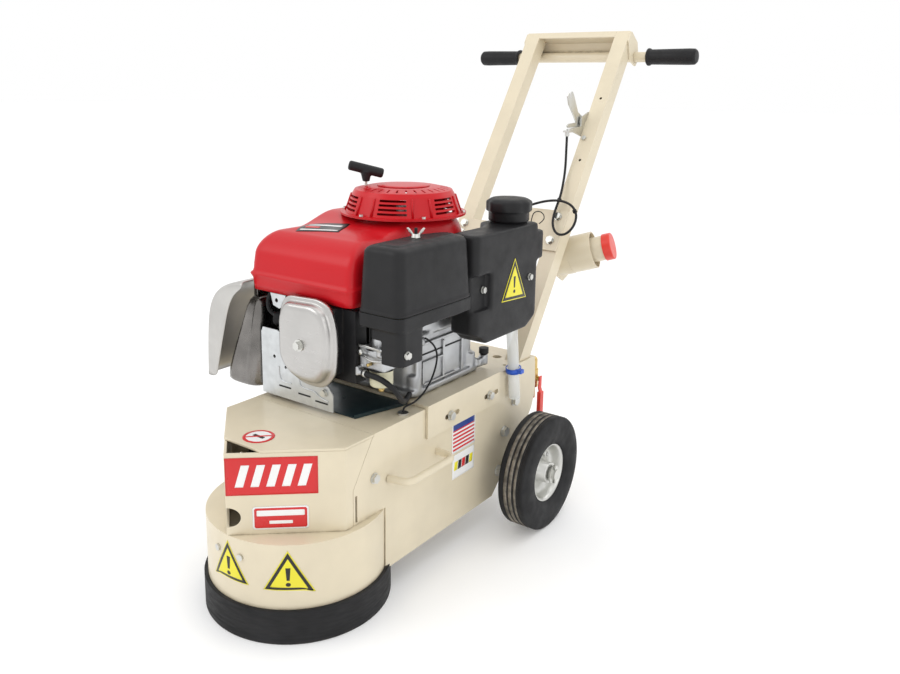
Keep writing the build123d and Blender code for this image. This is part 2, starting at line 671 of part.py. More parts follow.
def starter_housing():
    """Domed starter cage with slots round its side and short radial slots in its top."""
    profile = [(0, 634), (60, 633.5), (84, 628.5), (88.5, 621), (99, 591), (STARTER_R, 590.5),
               (STARTER_R, 587.1), (92.3, 587.1), (92.3, 590), (86, 619), (82, 625.5), (60, 630.5), (0, 631)]
    shell = revolve(Plane.XZ * Polygon(*profile, align=None), Axis.Z)
    for k in range(6):
        for row in range(4):
            z = 594.5 + 7 * row
            slot = block(60, 115, -25 + row, 25 - row, z, z + 3.8)
            shell -= Rot(0, 0, 60 * k - 63) * slot
    for k in range(30):
        shell -= Rot(0, 0, 12 * k) * block(64, 78, -1.5, 1.5, 620, 640)
    shell = Pos(0, ENGINE_Y, 0) * shell
    return shell - rod((-57, 235, 622), (-57, 235, 640), 3.2)


def starter_bolts():
    bolts = []
    for k in range(6):
        angle = radians(60 * k - 33)
        x, y = 104.6 * cos(angle), ENGINE_Y + 104.6 * sin(angle)
        bolts.append(hexagon_head((x, y, 590.9), (0, 0, 1), 6, 3.5))
    return Compound(children=bolts)


def flywheel():
    """Cast flywheel with fan blades on its top face, and the starter cup above it."""
    wheel = disc(97, 480, 506, 0, ENGINE_Y)
    for k in range(14):
        blade = block(52, 94, 6.4, 9.6, 506, 528)
        wheel += Pos(0, ENGINE_Y, 0) * (Rot(0, 0, 360 / 14 * k) * blade)
    wheel -= disc(SHAFT_R + 0.02, 470, 600, 0, ENGINE_Y)
    cup = disc(42, 540, 572, 0, ENGINE_Y) - disc(38, 543, 573, 0, ENGINE_Y)
    cup -= disc(SHAFT_R + 0.02, 535, 560, 0, ENGINE_Y)
    return Compound(children=[wheel, cup])


def starter_rope():
    return disc(2.2, 616, 646.9, -57, 235)


def starter_grip():
    """Moulded T-handle with a conical stem."""
    bar_dir = Vector(0.70, 0.67, -0.24)
    middle = Vector(-57, 235, 660)
    bar = rod(middle - bar_dir * 31, middle + bar_dir * 31, 8.5)
    bar = fillet(bar.edges().filter_by(GeomType.CIRCLE), 4)
    stem = Pos(-57, 235, 639) * Cone(6, 10, 18, align=BOTTOM)
    return bar + stem - disc(2.4, 634, 647, -57, 235)


def silencer_can(inset):
    """Tapered can, wide at the bottom and narrow at the top."""
    sections = [(-171, 300 + inset, 93, 122), (-167, 340, 84, 118), (-153, 452 - inset, 34, 84)]
    faces = []
    for x, z, width, depth in sections:
        faces.append(Pos(x, 98, z) * RectangleRounded(width - 2 * inset, depth - 2 * inset, 14 - inset))
    return loft(faces)


def muffler():
    """Welded silencer with its duct from the cylinder head and the post of its heat shield."""
    solid = silencer_can(0) + block(-145, -64.3, 68, 82, 372, 398) + block(-166, -157, 70, 130, 445, 477.5)
    return solid - silencer_can(2.5)


def heat_shield():
    """Bent sheet over the top and outer side of the silencer, with a flange at its front."""
    outer = [(-118, 487), (-172, 479), (-215, 463), (-238, 440), (-248, 400), (-253, 302)]
    inner = [(-251, 302), (-246, 400), (-236, 439), (-214, 461), (-171.5, 477), (-118, 485)]
    flange = [(-155, 482), (-172, 477), (-214, 461), (-236, 439), (-246, 400), (-251, 302), (-226, 302),
              (-216, 340), (-197, 406), (-188, 434), (-178, 452), (-166, 464), (-155, 470)]
    sheet = front_sheet(outer + inner, 32, 128) + front_sheet(flange, 32, 2)
    return sheet - block(-155, -100, 31, 170, 470, 500)


def plug_boot():
    """Rubber boot over the spark plug, moulded onto a short lead that runs up to the coil."""
    boot = rod((-68.2, 72, 425), (-94, 58, 425), 8)
    end = rod((-84, 63.4, 425), (-100, 54.7, 425), 11)
    lead = cord([(-97, 56, 428), (-107, 48, 440), (-109, 48, 455), (-107, 53, 468.5)], 3.2, "plug_lead")
    return boot + end + lead


# ---- air cleaner and carburettor --------------------------------------------------------
def cleaner_outline(inset):
    i = inset
    return [(84 + i, 47 + i), (170 - i, 47 + i), (170 - i, 200), (168 - i, 239 - i), (120, 239 - i),
            (84 + i, 176)]


def air_cleaner_base():
    """Tray of the air cleaner with its duct down to the carburettor and its centre stud."""
    tray = extrude(Pos(0, 0, 448) * rounded(cleaner_outline(0), 12), 21.8)
    tray -= extrude(Pos(0, 0, 452) * rounded(cleaner_outline(3), 10), 20)
    duct = fillet(block(104, 168, 52, 112, 394, 450).edges().filter_by(Axis.Z), 12)
    duct -= block(90, 130, 50, 112, 380, 430)
    tray += duct + disc(3, 450, 590, 126, 140)
    return tray - rod((150, 66, 412), (172, 66, 412), 3.1)


def air_cleaner_cover():
    shell = extrude(Pos(0, 0, 470) * rounded(cleaner_outline(0.5), 13), 101, taper=3)
    shell = fillet(shell.faces().sort_by(Axis.Z)[-1].edges(), 9)
    inside = extrude(Pos(0, 0, 469) * rounded(cleaner_outline(3.5), 10), 97, taper=3)
    shell -= inside
    shell += disc(18, 566, 573.5, 126, 140) - disc(18, 560, 567, 126, 140)
    return shell - disc(3.4, 540, 580, 126, 140)


def filter_element():
    body = extrude(Pos(0, 0, 453) * rounded(cleaner_outline(14), 8), 96)
    return body - disc(9, 440, 560, 126, 140)


def wing_nut():
    nut = Pos(126, 140, 574) * Cone(7.5, 5.5, 6.5, align=BOTTOM)
    wing_outline = [(3.4, 575.5), (11, 583), (14.5, 589), (11.5, 590.5), (7.5, 586), (3.4, 580.5)]
    wing = extrude(Plane.XZ.offset(-1.5) * Polygon(*wing_outline, align=None), 3)
    for turn in (35, 215):
        nut += Pos(126, 140, 0) * (Rot(0, 0, turn) * wing)
    return nut - disc(3.1, 570, 600, 126, 140)


def elbow_bolt():
    return bolt((168.1, 66, 412), (1, 0, 0), 6, 14)


def carburettor():
    """Carburettor with its mounting flange, choke rod and fuel inlet."""
    body = fillet(block(84, 122, 68, 104, 374, 404).edges().filter_by(Axis.Z), 5)
    body += block(73, 85, 68, 106, 374.2, 408) + disc(14, 402, 429.9, 103, 84)
    body += rod((75, 65, 410), (127, 65, 410), 2.2) + block(126, 129, 59, 71, 403, 417)
    body += block(110, 118, 64, 70, 398, 412)
    return body + rod((76, 62, 368), (84, 62, 368), 4) + block(73.2, 79, 57, 72, 364, 378)


def float_bowl():
    bowl = fillet(disc(18.5, 345, 373.9, 102, 86).edges().group_by(Axis.Z)[0], 5)
    return bowl


def fuel_hose():
    points = [(84.1, 62, 368), (109, 62, 368), (131, 64, 362), (140, 76, 345), (133, 97, 325),
              (118, 123, 310), (103, 148, 303.5), (91, 171, 303)]
    return cord(points, 4.6, "fuel_hose")


# ---- fuel tank --------------------------------------------------------------------------
def fuel_tank():
    """Moulded tank beside the fan cover, with a stepped rear and a screwed filler neck."""
    outline = [(116, 243), (170, 243), (170, 449), (84, 449), (84, 382), (116, 340)]
    body = extrude(Pos(0, 0, 378) * rounded(outline, 12), 188)
    ledge = extrude(Pos(0, 0, 498) * rounded([(86, 430), (170, 430), (170, 471), (86, 471)], 14), 52)
    tank = body + ledge
    tank -= side_sheet([(460, 370), (396, 370), (455, 402), (480, 402)], 0, 200)
    tank -= side_sheet([(230, 370), (290, 370), (262, 392), (230, 404)], 0, 200)
    tank -= block(158, 172, 240, 292, 438, 498)
    tank += disc(30, 560, 578, 128, 408)
    for start, z in ((282, 470), (415, 471)):
        tank -= rod((140, start, z), (175, start, z), 3.1)
    return tank


def tank_bolts():
    front = bolt((158.1, 282, 470), (1, 0, 0), 6, 8)
    back = bolt((170.1, 415, 471), (1, 0, 0), 6, 10)
    return Compound(children=[front, back])


def fuel_cap():
    """Ribbed screw cap that hangs down over the filler neck."""
    cap = fillet(disc(40, 570, 611, 128, 408).edges().group_by(Axis.Z)[-1], 4)
    for k in range(8):
        x, y = 128 + 42.5 * cos(k * pi / 4), 408 + 42.5 * sin(k * pi / 4)
        cap -= disc(5, 584, 612, x, y)
    return cap - disc(30.05, 569, 600, 128, 408)


def oil_cap():
    return disc(9, 321.5, 332, 97, 385) + disc(5, 312, 322, 97, 385)


# ---- wires, hose and water valve --------------------------------------------------------
def kill_wire():
    points = [(104, 196, 396), (108, 212, 385), (112, 220, 365), (113, 214, 342), (113.6, 199, 322),
              (114, 178, 306), (114.4, 157, 299.6), (115, 140, 299.4), (115.4, 131, 300),
              (114.4, 126, 298), (113.7, 125.3, 291.1)]
    return cord(points, WIRE_R, "kill_wire")


def grommet():
    return disc(6, 282, 288.1, 113.7, 125.3) + disc(9, 288.1, 291, 113.7, 125.3)


def clear_hose():
    return rod((144, 404, 376), (143, 424, 234), 10.5)


def hose_clip():
    """Sprung hose clip with its two finger tabs."""
    top, low = Vector(144, 404, 376), Vector(143, 424, 234)
    d = (low - top).normalized()
    a = top + d * 82
    ring = rod(a, a + d * 8, 12.8) + block(152, 163, 409, 419, 288, 294)
    return ring - rod(a - d * 30, a + d * 40, 10.55)


def cord_clips():
    """Cable adjuster, deck grommet and hose clip."""
    return Compound(children=[cable_ferrule(), grommet(), hose_clip()])


def water_valve():
    """Brass union through the deck's rear wall, with an elbow down to a lever valve."""
    x = VALVE_X
    solid = rod((x, 505, 268), (x, 548, 268), 9) + hexagon_head((x, 515.6, 268), (0, 1, 0), 25, 12)
    solid += disc(9, 249, 268, x, 548) + Pos(x, 548, 268) * Sphere(9)
    solid += disc(11, 214, 250, x, 548) + disc(6, 190, 214, x, 548)
    return solid + rod((x, 548, 232), (x + 16, 548, 232), 5)


def valve_lever():
    """Flat steel lever with a dipped grip on its lower half."""
    x = VALVE_X + 16.3
    arm = side_sheet([(543, 238), (553, 238), (552, 214), (556, 206), (556, 164), (545, 164), (545, 206),
                      (541, 214)], x, 3)
    return arm + side_sheet([(543.5, 205), (557.5, 205), (557.5, 160), (543.5, 160)], x - 2.6, 8.2)


# ---- fasteners ----------------------------------------------------------------------------
def bolts():
    """Every screw and bolt of the machine, each a solid of its own."""
    groups = [guard_bolts(), handle_bolts(), axle_bolts(), adjuster_bolts(), mid_plate_bolts(),
              housing_bolts(), drum_screws(), starter_bolts(), tank_bolts()]
    singles = [throttle_bolt(), throttle_screw(), throttle_nut(), valve_cover_bolt(), bracket_bolt(), elbow_bolt()]
    return Compound(children=[solid for group in groups for solid in group.solids()] + singles)


# ---- build ------------------------------------------------------------------------------
PARTS = {
    "drum": drum,
    "skirt": skirt,
    "bearing_housing": bearing_housing,
    "spindle_shaft": spindle_shaft,
    "spindle_pulley": lambda: pulley(SPINDLE_PULLEY_R, 0),
    "tool_disc": tool_disc,
    "diamond_shoes": diamond_shoes,
    "drive_belt": drive_belt,
    "chassis_sides": lambda: pair(chassis_side()),
    "deck": deck,
    "nose_guard": nose_guard,
    "lid": lid,
    "bolts": bolts,
    "lift_handles": lambda: pair(lift_handle()),
    "adjuster_plate": adjuster_plate,
    "axle": axle,
    "tyre_left": tyre,
    "tyre_right": lambda: mirrored(tyre()),
    "rim_left": rim,
    "rim_right": lambda: mirrored(rim()),
    "uprights": uprights,
    "cross_channel": cross_channel,
    "handlebar": handlebar,
    "grips": lambda: pair(grip()),
    "mid_plate": mid_plate,
    "dust_pipe": dust_pipe,
    "dust_stub": dust_stub,
    "dust_cap": dust_cap,
    "throttle_mount": throttle_mount,
    "throttle_lever": throttle_lever,
    "throttle_cable": throttle_cable,
    "cord_clips": cord_clips,
    "crankcase": crankcase,
    "crankshaft": crankshaft,
    "cylinder": cylinder_fins,
    "valve_cover": valve_cover,
    "front_bracket": front_bracket,
    "base_sheet": base_sheet,
    "fan_cover": fan_cover,
    "starter_housing": starter_housing,
    "flywheel": flywheel,
    "starter_rope": starter_rope,
    "starter_grip": starter_grip,
    "muffler": muffler,
    "heat_shield": heat_shield,
    "plug_boot": plug_boot,
    "air_cleaner_base": air_cleaner_base,
    "air_cleaner_cover": air_cleaner_cover,
    "filter_element": filter_element,
    "wing_nut": wing_nut,
    "carburettor": carburettor,
    "float_bowl": float_bowl,
    "fuel_hose": fuel_hose,
    "fuel_tank": fuel_tank,
    "fuel_cap": fuel_cap,
    "oil_cap": oil_cap,
    "kill_wire": kill_wire,
    "clear_hose": clear_hose,
    "water_valve": water_valve,
    "valve_lever": valve_lever,
}


for part_name, make in PARTS.items():
    save(part_name, make())
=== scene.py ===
import json
from math import cos, pi, radians, sin

import bmesh
import bpy
from mathutils import Matrix, Vector
from mathutils.bvhtree import BVHTree


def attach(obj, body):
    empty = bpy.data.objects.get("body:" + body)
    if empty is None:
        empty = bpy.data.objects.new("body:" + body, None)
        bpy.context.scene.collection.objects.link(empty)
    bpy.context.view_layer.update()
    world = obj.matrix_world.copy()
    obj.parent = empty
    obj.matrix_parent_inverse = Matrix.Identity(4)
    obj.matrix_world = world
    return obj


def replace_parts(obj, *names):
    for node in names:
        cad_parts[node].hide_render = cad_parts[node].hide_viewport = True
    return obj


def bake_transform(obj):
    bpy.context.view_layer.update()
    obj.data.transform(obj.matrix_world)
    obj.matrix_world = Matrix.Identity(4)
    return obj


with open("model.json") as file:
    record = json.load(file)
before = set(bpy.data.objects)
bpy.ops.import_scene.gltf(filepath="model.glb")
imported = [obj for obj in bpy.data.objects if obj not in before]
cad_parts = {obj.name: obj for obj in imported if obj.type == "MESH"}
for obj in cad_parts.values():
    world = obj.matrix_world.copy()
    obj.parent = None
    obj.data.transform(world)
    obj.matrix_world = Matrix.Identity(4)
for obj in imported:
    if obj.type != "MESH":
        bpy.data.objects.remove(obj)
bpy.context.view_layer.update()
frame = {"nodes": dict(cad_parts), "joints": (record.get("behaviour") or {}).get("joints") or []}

# Walk-behind concrete grinder. The looks are built round the CAD nodes of the frame, in the
# same working millimetres as the CAD: from the spindle axis and the floor, +Y to the handle.
MM = 0.001
joints = {j["name"]: j for j in frame["joints"]}
SPINDLE = Vector(joints["spindle_spin"]["pos_m"])
WHEEL = Vector(joints["wheel_left_spin"]["pos_m"])
ENGINE_Y = (joints["crank_spin"]["pos_m"][1] - SPINDLE.y) / MM
DRUM_R = 142.0           # outside of the steel drum
DECK_Z = 288.0           # top of the deck
SIDE_X = 129.5           # outer face of the chassis side plate
TANK_X = 170.0           # outer face of the fuel tank
NOSE_TIP = Vector((0, -143.6))
FACET = Vector((SIDE_X, 115.6)).normalized()     # along the belt guard's left facet
TILT = radians(33.57)    # handle's lean back from upright
HANDLE_Y = 570.6         # point on the uprights' centre lines
HANDLE_Z = 415.0
ROPE_X = -57.0           # the starter rope's line, straight up
ROPE_Y = 235.0
FILM_THICKNESS = 0.18    # of a sticker
FLOOR_DROP = 0.4         # the floor lies this far under the wheels, against flicker


# ---- places -----------------------------------------------------------------------------
def at(x, y, z):
    """Point given in millimetres from the spindle axis (x, y) and the floor (z)."""
    return Vector((SPINDLE.x + x * MM, SPINDLE.y + y * MM, z * MM))


def on_handle(x, along, off):
    """Point along the handle's uprights and off their centre plane to the front."""
    y = HANDLE_Y + along * sin(TILT) - off * cos(TILT)
    return at(x, y, HANDLE_Z + along * cos(TILT) + off * sin(TILT))


# ---- camera -----------------------------------------------------------------------------
def make_camera():
    """Camera ahead of the machine on the operator's left, a little above the engine."""
    data = bpy.data.cameras.new("camera")
    camera = bpy.data.objects.new("camera", data)
    bpy.context.scene.collection.objects.link(camera)
    azimuth, elevation, roll = radians(36.12), radians(12.288), radians(0.748)
    forward = Vector((-sin(azimuth) * cos(elevation), cos(azimuth) * cos(elevation), -sin(elevation)))
    level = Vector((cos(azimuth), sin(azimuth), 0))
    upright = level.cross(forward)
    right = level * cos(roll) + upright * sin(roll)
    up = upright * cos(roll) - level * sin(roll)
    turned = Matrix((right, up, -forward)).transposed().to_4x4()
    camera.matrix_world = Matrix.Translation(at(910.1, -876.2, 804.1)) @ turned
    data.lens = 33.95
    data.sensor_width = 36
    data.shift_x = 0.0135
    data.shift_y = -0.075
    data.clip_end = 50
    bpy.context.scene.camera = camera


# ---- materials --------------------------------------------------------------------------
def mix_colour(nodes, links, factor, first, second):
    """Colour mix whose inputs are sockets or plain colours."""
    mix = nodes.new("ShaderNodeMix")
    mix.data_type = "RGBA"
    links.new(factor, mix.inputs[0])
    for socket, value in ((mix.inputs[6], first), (mix.inputs[7], second)):
        if isinstance(value, bpy.types.NodeSocket):
            links.new(value, socket)
        else:
            socket.default_value = (*value, 1)
    return mix.outputs[2]


def noise(nodes, links, vector, scale, detail, stretch=(1, 1, 1)):
    """Noise value, drawn out along the axes by the stretch."""
    if stretch != (1, 1, 1):
        mapping = nodes.new("ShaderNodeMapping")
        mapping.inputs["Scale"].default_value = stretch
        links.new(vector, mapping.inputs["Vector"])
        vector = mapping.outputs["Vector"]
    texture = nodes.new("ShaderNodeTexNoise")
    texture.inputs["Scale"].default_value = scale
    texture.inputs["Detail"].default_value = detail
    links.new(vector, texture.inputs["Vector"])
    return texture.outputs["Fac"]


def ramp(nodes, links, value, low, high, low_out=0.0, high_out=1.0):
    """Value between low and high spread over the output range."""
    node = nodes.new("ShaderNodeMapRange")
    for name, number in (("From Min", low), ("From Max", high), ("To Min", low_out), ("To Max", high_out)):
        node.inputs[name].default_value = number
    links.new(value, node.inputs["Value"])
    return node.outputs["Result"]


def material(name, colour, rough, metallic=0.0, tint=0.10, tint_scale=14.0, grain=0.15, grain_scale=700.0,
             stretch=(1, 1, 1), hollow_dust_and_shade=None, wear=None, coat=0.0, alpha=1.0, shine=0.5, sheen=0.0,
             uneven=0.2):
    """Surface with cloudy colour and uneven gloss, fine grain, hollows tinted by ambient occlusion (painted
    shade where the tone is darker, dust where lighter) and worn edges if wanted.
    """
    made = bpy.data.materials.new(name)
    made.use_nodes = True
    nodes, links = made.node_tree.nodes, made.node_tree.links
    shader = nodes["Principled BSDF"]
    for socket, number in (("Metallic", metallic), ("Coat Weight", coat), ("Coat Roughness", 0.12),
                           ("Alpha", alpha), ("Specular IOR Level", shine), ("Sheen Weight", sheen)):
        shader.inputs[socket].default_value = number
    place = nodes.new("ShaderNodeTexCoord").outputs["Object"]
    clouds = noise(nodes, links, place, tint_scale, 6.0)
    darker = [c * (1 - tint) for c in colour]
    lighter = [min(1.0, c * (1 + tint)) for c in colour]
    look = mix_colour(nodes, links, ramp(nodes, links, clouds, 0.35, 0.65), darker, lighter)
    # Ambient occlusion tints the hollows: where the given tone is darker than the surface it is painted
    # shade, where lighter it is dust; on convex edges it is worn paint.
    for shade, inside, reach in ((hollow_dust_and_shade, False, 0.012), (wear, True, 0.0016)):
        if shade:
            corner = nodes.new("ShaderNodeAmbientOcclusion")
            corner.samples = 4
            corner.inside = inside
            corner.inputs["Distance"].default_value = reach
            patchy = noise(nodes, links, place, 60.0, 5.0)
            amount = nodes.new("ShaderNodeMath")
            amount.operation = "MULTIPLY"
            links.new(ramp(nodes, links, corner.outputs["AO"], 0.75, 0.25), amount.inputs[0])
            links.new(ramp(nodes, links, patchy, 0.35, 0.6), amount.inputs[1])
            look = mix_colour(nodes, links, amount.outputs[0], look, shade)
    links.new(look, shader.inputs["Base Color"])
    smudges = noise(nodes, links, place, tint_scale * 3, 5.0, stretch)
    gloss = ramp(nodes, links, smudges, 0.3, 0.7, rough * (1 - uneven), min(1.0, rough * (1 + uneven)))
    links.new(gloss, shader.inputs["Roughness"])
    bump = nodes.new("ShaderNodeBump")
    bump.inputs["Strength"].default_value = grain
    bump.inputs["Distance"].default_value = 0.0003
    links.new(noise(nodes, links, place, grain_scale, 3.0, stretch), bump.inputs["Height"])
    links.new(bump.outputs["Normal"], shader.inputs["Normal"])
    return made


# Hollow tones: painted shade in the hollows of the cream, aluminium, galvanised, silencer and casting
# surfaces; lighter dust in the hollows of the skirt, tyres and black paint.
CREAM = material("cream_paint", (0.70, 0.62, 0.46), 0.36, tint=0.035, grain=0.10, grain_scale=500,
                 hollow_dust_and_shade=(0.36, 0.29, 0.19), wear=(0.80, 0.73, 0.58), coat=0.15)
RED = material("red_enamel", (0.54, 0.007, 0.013), 0.32, tint=0.03, tint_scale=6, grain=0.0, shine=0.3,
               uneven=0.05)
SKIRT = material("skirt_rubber", (0.016, 0.016, 0.017), 0.62, tint=0.25, grain=0.5, grain_scale=260,
                 stretch=(1, 1, 6), hollow_dust_and_shade=(0.08, 0.075, 0.07), shine=0.22)
TYRE = material("tyre_rubber", (0.018, 0.018, 0.019), 0.66, tint=0.25, grain=0.4, grain_scale=420,
                hollow_dust_and_shade=(0.10, 0.095, 0.085), shine=0.22)
TREAD_DUST = material("tread_dust", (0.20, 0.18, 0.15), 0.85, tint=0.45, tint_scale=70, grain=0.6,
                      grain_scale=400, shine=0.2)
ZINC = material("zinc_plate", (0.64, 0.64, 0.61), 0.32, metallic=1.0, tint=0.04, tint_scale=40, grain=0.02,
                uneven=0.1)
STEEL = material("turned_steel", (0.52, 0.52, 0.51), 0.30, metallic=1.0, tint=0.10, grain=0.25,
                 stretch=(1, 1, 12))
IRON = material("cast_iron", (0.17, 0.17, 0.17), 0.55, metallic=0.7, tint=0.2, grain=0.8, grain_scale=350)
ALUMINIUM = material("cast_aluminium", (0.52, 0.53, 0.54), 0.42, metallic=0.9, tint=0.12, grain=0.5,
                     grain_scale=500, hollow_dust_and_shade=(0.12, 0.115, 0.11))
POLISHED = material("polished_cover", (0.52, 0.51, 0.495), 0.33, metallic=1.0, tint=0.04, grain=0.0,
                    stretch=(1, 1, 10))
GALVANISED = material("galvanised_sheet", (0.60, 0.62, 0.63), 0.38, metallic=0.85, tint=0.07, tint_scale=60,
                      grain=0.06, hollow_dust_and_shade=(0.28, 0.28, 0.27))
SILENCER = material("silencer_steel", (0.20, 0.19, 0.18), 0.26, metallic=1.0, tint=0.22, tint_scale=20,
                    grain=0.12, hollow_dust_and_shade=(0.08, 0.07, 0.06))
SHIELD = material("shield_steel", (0.53, 0.52, 0.50), 0.38, metallic=0.85, tint=0.06, tint_scale=18,
                  grain=0.03)
DARK_SHEET = material("dark_sheet", (0.010, 0.028, 0.034), 0.34, metallic=0.2, tint=0.15, grain=0.08)
BLACK_PAINT = material("black_paint", (0.012, 0.012, 0.013), 0.40, tint=0.2, grain=0.3,
                       hollow_dust_and_shade=(0.05, 0.045, 0.04), shine=0.22)
PLASTIC = material("black_plastic", (0.017, 0.017, 0.018), 0.44, tint=0.12, grain=0.55,
                   grain_scale=1100, shine=0.22)
RUBBER = material("black_rubber", (0.014, 0.014, 0.015), 0.50, tint=0.15, grain=0.35,
                  grain_scale=900, shine=0.22)
BELT = material("belt_rubber", (0.02, 0.02, 0.02), 0.7, tint=0.2, grain=0.6, grain_scale=600, shine=0.22)
RED_PLASTIC = material("red_vinyl", (0.72, 0.035, 0.02), 0.38, tint=0.05, grain=0.12, coat=0.2)
CREAM_CASTING = material("cream_casting", (0.66, 0.63, 0.45), 0.42, tint=0.06, grain=0.2,
                         hollow_dust_and_shade=(0.25, 0.22, 0.14))
BRASS = material("brass", (0.62, 0.45, 0.18), 0.30, metallic=1.0, tint=0.12, tint_scale=60, grain=0.15)
CLEAR = material("clear_vinyl", (0.86, 0.88, 0.87), 0.22, tint=0.03, grain=0.1, alpha=0.55)
BLUE = material("blue_clip", (0.02, 0.10, 0.55), 0.35, tint=0.06, grain=0.1)
PAPER = material("filter_paper", (0.60, 0.50, 0.28), 0.8, tint=0.1, grain=0.6, stretch=(8, 8, 1))
GRIT = material("diamond_grit", (0.18, 0.16, 0.14), 0.7, metallic=0.6, tint=0.3, grain=1.0, grain_scale=900)
ROPE = material("braided_rope", (0.62, 0.60, 0.54), 0.75, tint=0.1, grain=0.8, grain_scale=1200, sheen=0.3)
YELLOW = material("yellow_vinyl", (0.80, 0.72, 0.03), 0.35, tint=0.03, grain=0.05)
BLACK_INK = material("black_vinyl", (0.012, 0.012, 0.012), 0.35, tint=0.1, grain=0.05)
RED_INK = material("red_vinyl_film", (0.62, 0.018, 0.02), 0.32, tint=0.03, grain=0.05)
WHITE_INK = material("white_vinyl", (0.84, 0.84, 0.83), 0.35, tint=0.02, grain=0.05)
BLUE_INK = material("blue_vinyl", (0.03, 0.06, 0.25), 0.35, tint=0.05, grain=0.05)

NODE_LOOKS = {
    CREAM: "drum chassis_sides deck nose_guard lid lift_handles adjuster_plate uprights cross_channel "
           "handlebar mid_plate dust_pipe dust_stub",
    RED: "fan_cover starter_housing",
    SKIRT: "skirt",
    TYRE: "tyre_left tyre_right",
    ZINC: "bolts axle rim_left rim_right throttle_mount throttle_lever cord_clips wing_nut",
    STEEL: "spindle_shaft crankshaft tool_disc",
    IRON: "bearing_housing spindle_pulley",
    ALUMINIUM: "crankcase flywheel carburettor",
    BLACK_PAINT: "cylinder",
    POLISHED: "valve_cover",
    GALVANISED: "front_bracket",
    SILENCER: "muffler",
    SHIELD: "heat_shield",
    DARK_SHEET: "base_sheet",
    PLASTIC: "air_cleaner_base air_cleaner_cover fuel_tank fuel_cap oil_cap starter_grip throttle_cable",
    RUBBER: "grips plug_boot fuel_hose kill_wire",
    BELT: "drive_belt",
    RED_PLASTIC: "dust_cap valve_lever",
    CREAM_CASTING: "float_bowl",
    BRASS: "water_valve",
    CLEAR: "clear_hose",
    PAPER: "filter_element",
    GRIT: "diamond_shoes",
    ROPE: "starter_rope",
}
BEVELS = {"chassis_sides": 0.5, "deck": 0.5, "nose_guard": 0.8, "lid": 0.8, "drum": 0.8, "uprights": 2.0,
          "skirt": 1.2, "grips": 1.0, "dust_cap": 0.8, "cylinder": 0.6, "tool_disc": 0.5, "base_sheet": 0.3,
          "heat_shield": 0.3, "front_bracket": 0.3, "starter_housing": 0.4, "adjuster_plate": 0.5}
SOFT_EDGE = 0.4


# ---- mesh helpers -----------------------------------------------------------------------
def dress(piece, bevel_mm):
    """Smooth shading with small rounded edges."""
    for face in piece.data.polygons:
        face.use_smooth = True
    weld = piece.modifiers.new("weld", "WELD")
    weld.merge_threshold = 0.00001
    merge = piece.modifiers.new("flat_regions", "DECIMATE")
    merge.decimate_type = "DISSOLVE"
    merge.angle_limit = radians(0.5)
    edges = piece.modifiers.new("rounded_edges", "BEVEL")
    edges.width = bevel_mm * MM
    edges.segments = 2
    edges.limit_method = "ANGLE"
    edges.angle_limit = radians(32)
    flat = piece.modifiers.new("flat_faces", "WEIGHTED_NORMAL")
    flat.keep_sharp = True


def paint_cad_nodes():
    """Give every CAD node its material and its rounded edges."""
    for look, names in NODE_LOOKS.items():
        for name in names.split():
            node = frame["nodes"][name]
            node.data.materials.clear()
            node.data.materials.append(look)
            dress(node, BEVELS.get(name, SOFT_EDGE))


def add_piece(name, vertices, faces, look, body, bevel_mm=0.0):
    """Smooth mesh piece with its faces turned outward, riding on a body."""
    mesh = bpy.data.meshes.new(name)
    mesh.from_pydata([tuple(v) for v in vertices], [], faces)
    mesh.materials.append(look)
    mesh.validate()
    piece = bpy.data.objects.new(name, mesh)
    bpy.context.scene.collection.objects.link(piece)
    shape = bmesh.new()
    shape.from_mesh(mesh)
    bmesh.ops.recalc_face_normals(shape, faces=shape.faces)
    shape.to_mesh(mesh)
    shape.free()
    for face in mesh.polygons:
        face.use_smooth = True
    if bevel_mm:
        dress(piece, bevel_mm)
    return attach(piece, body)


def skin(rings, cap_start=True, cap_end=True):
    """Vertices and faces of a tube of rings, each wanted end closed round a middle point."""
    count = len(rings[0])
    vertices = [v for ring in rings for v in ring]
    faces = []
    for r in range(len(rings) - 1):
        for k in range(count):
            n = (k + 1) % count
            faces.append((r * count + k, r * count + n, (r + 1) * count + n, (r + 1) * count + k))
    for wanted, r in ((cap_start, 0), (cap_end, len(rings) - 1)):
        if wanted:
            middle = sum(rings[r], Vector()) / count
            vertices.append(middle)
            for k in range(count):
                faces.append((len(vertices) - 1, r * count + k, r * count + (k + 1) % count))
    return vertices, faces


def rounded_loop(points, radius, count):
    """Closed outline with its corners rounded, as evenly spaced points."""
    dense = []
    total = len(points)
    for i, corner in enumerate(points):
        c = Vector(corner)
        before, after = Vector(points[i - 1]) - c, Vector(points[(i + 1) % total]) - c
        reach = min(radius, before.length * 0.48, after.length * 0.48)
        a, b = c + before.normalized() * reach, c + after.normalized() * reach
        for k in range(9):
            t = k / 8
            dense.append(a * (1 - t) ** 2 + c * 2 * t * (1 - t) + b * t ** 2)
    lengths = [(dense[(i + 1) % len(dense)] - p).length for i, p in enumerate(dense)]
    step = sum(lengths) / count
    loop, walked, i = [], 0.0, 0
    for k in range(count):
        while walked + lengths[i] < k * step:
            walked += lengths[i]
            i += 1
        part = (k * step - walked) / max(lengths[i], 1e-9)
        loop.append(dense[i].lerp(dense[(i + 1) % len(dense)], part))
    return loop


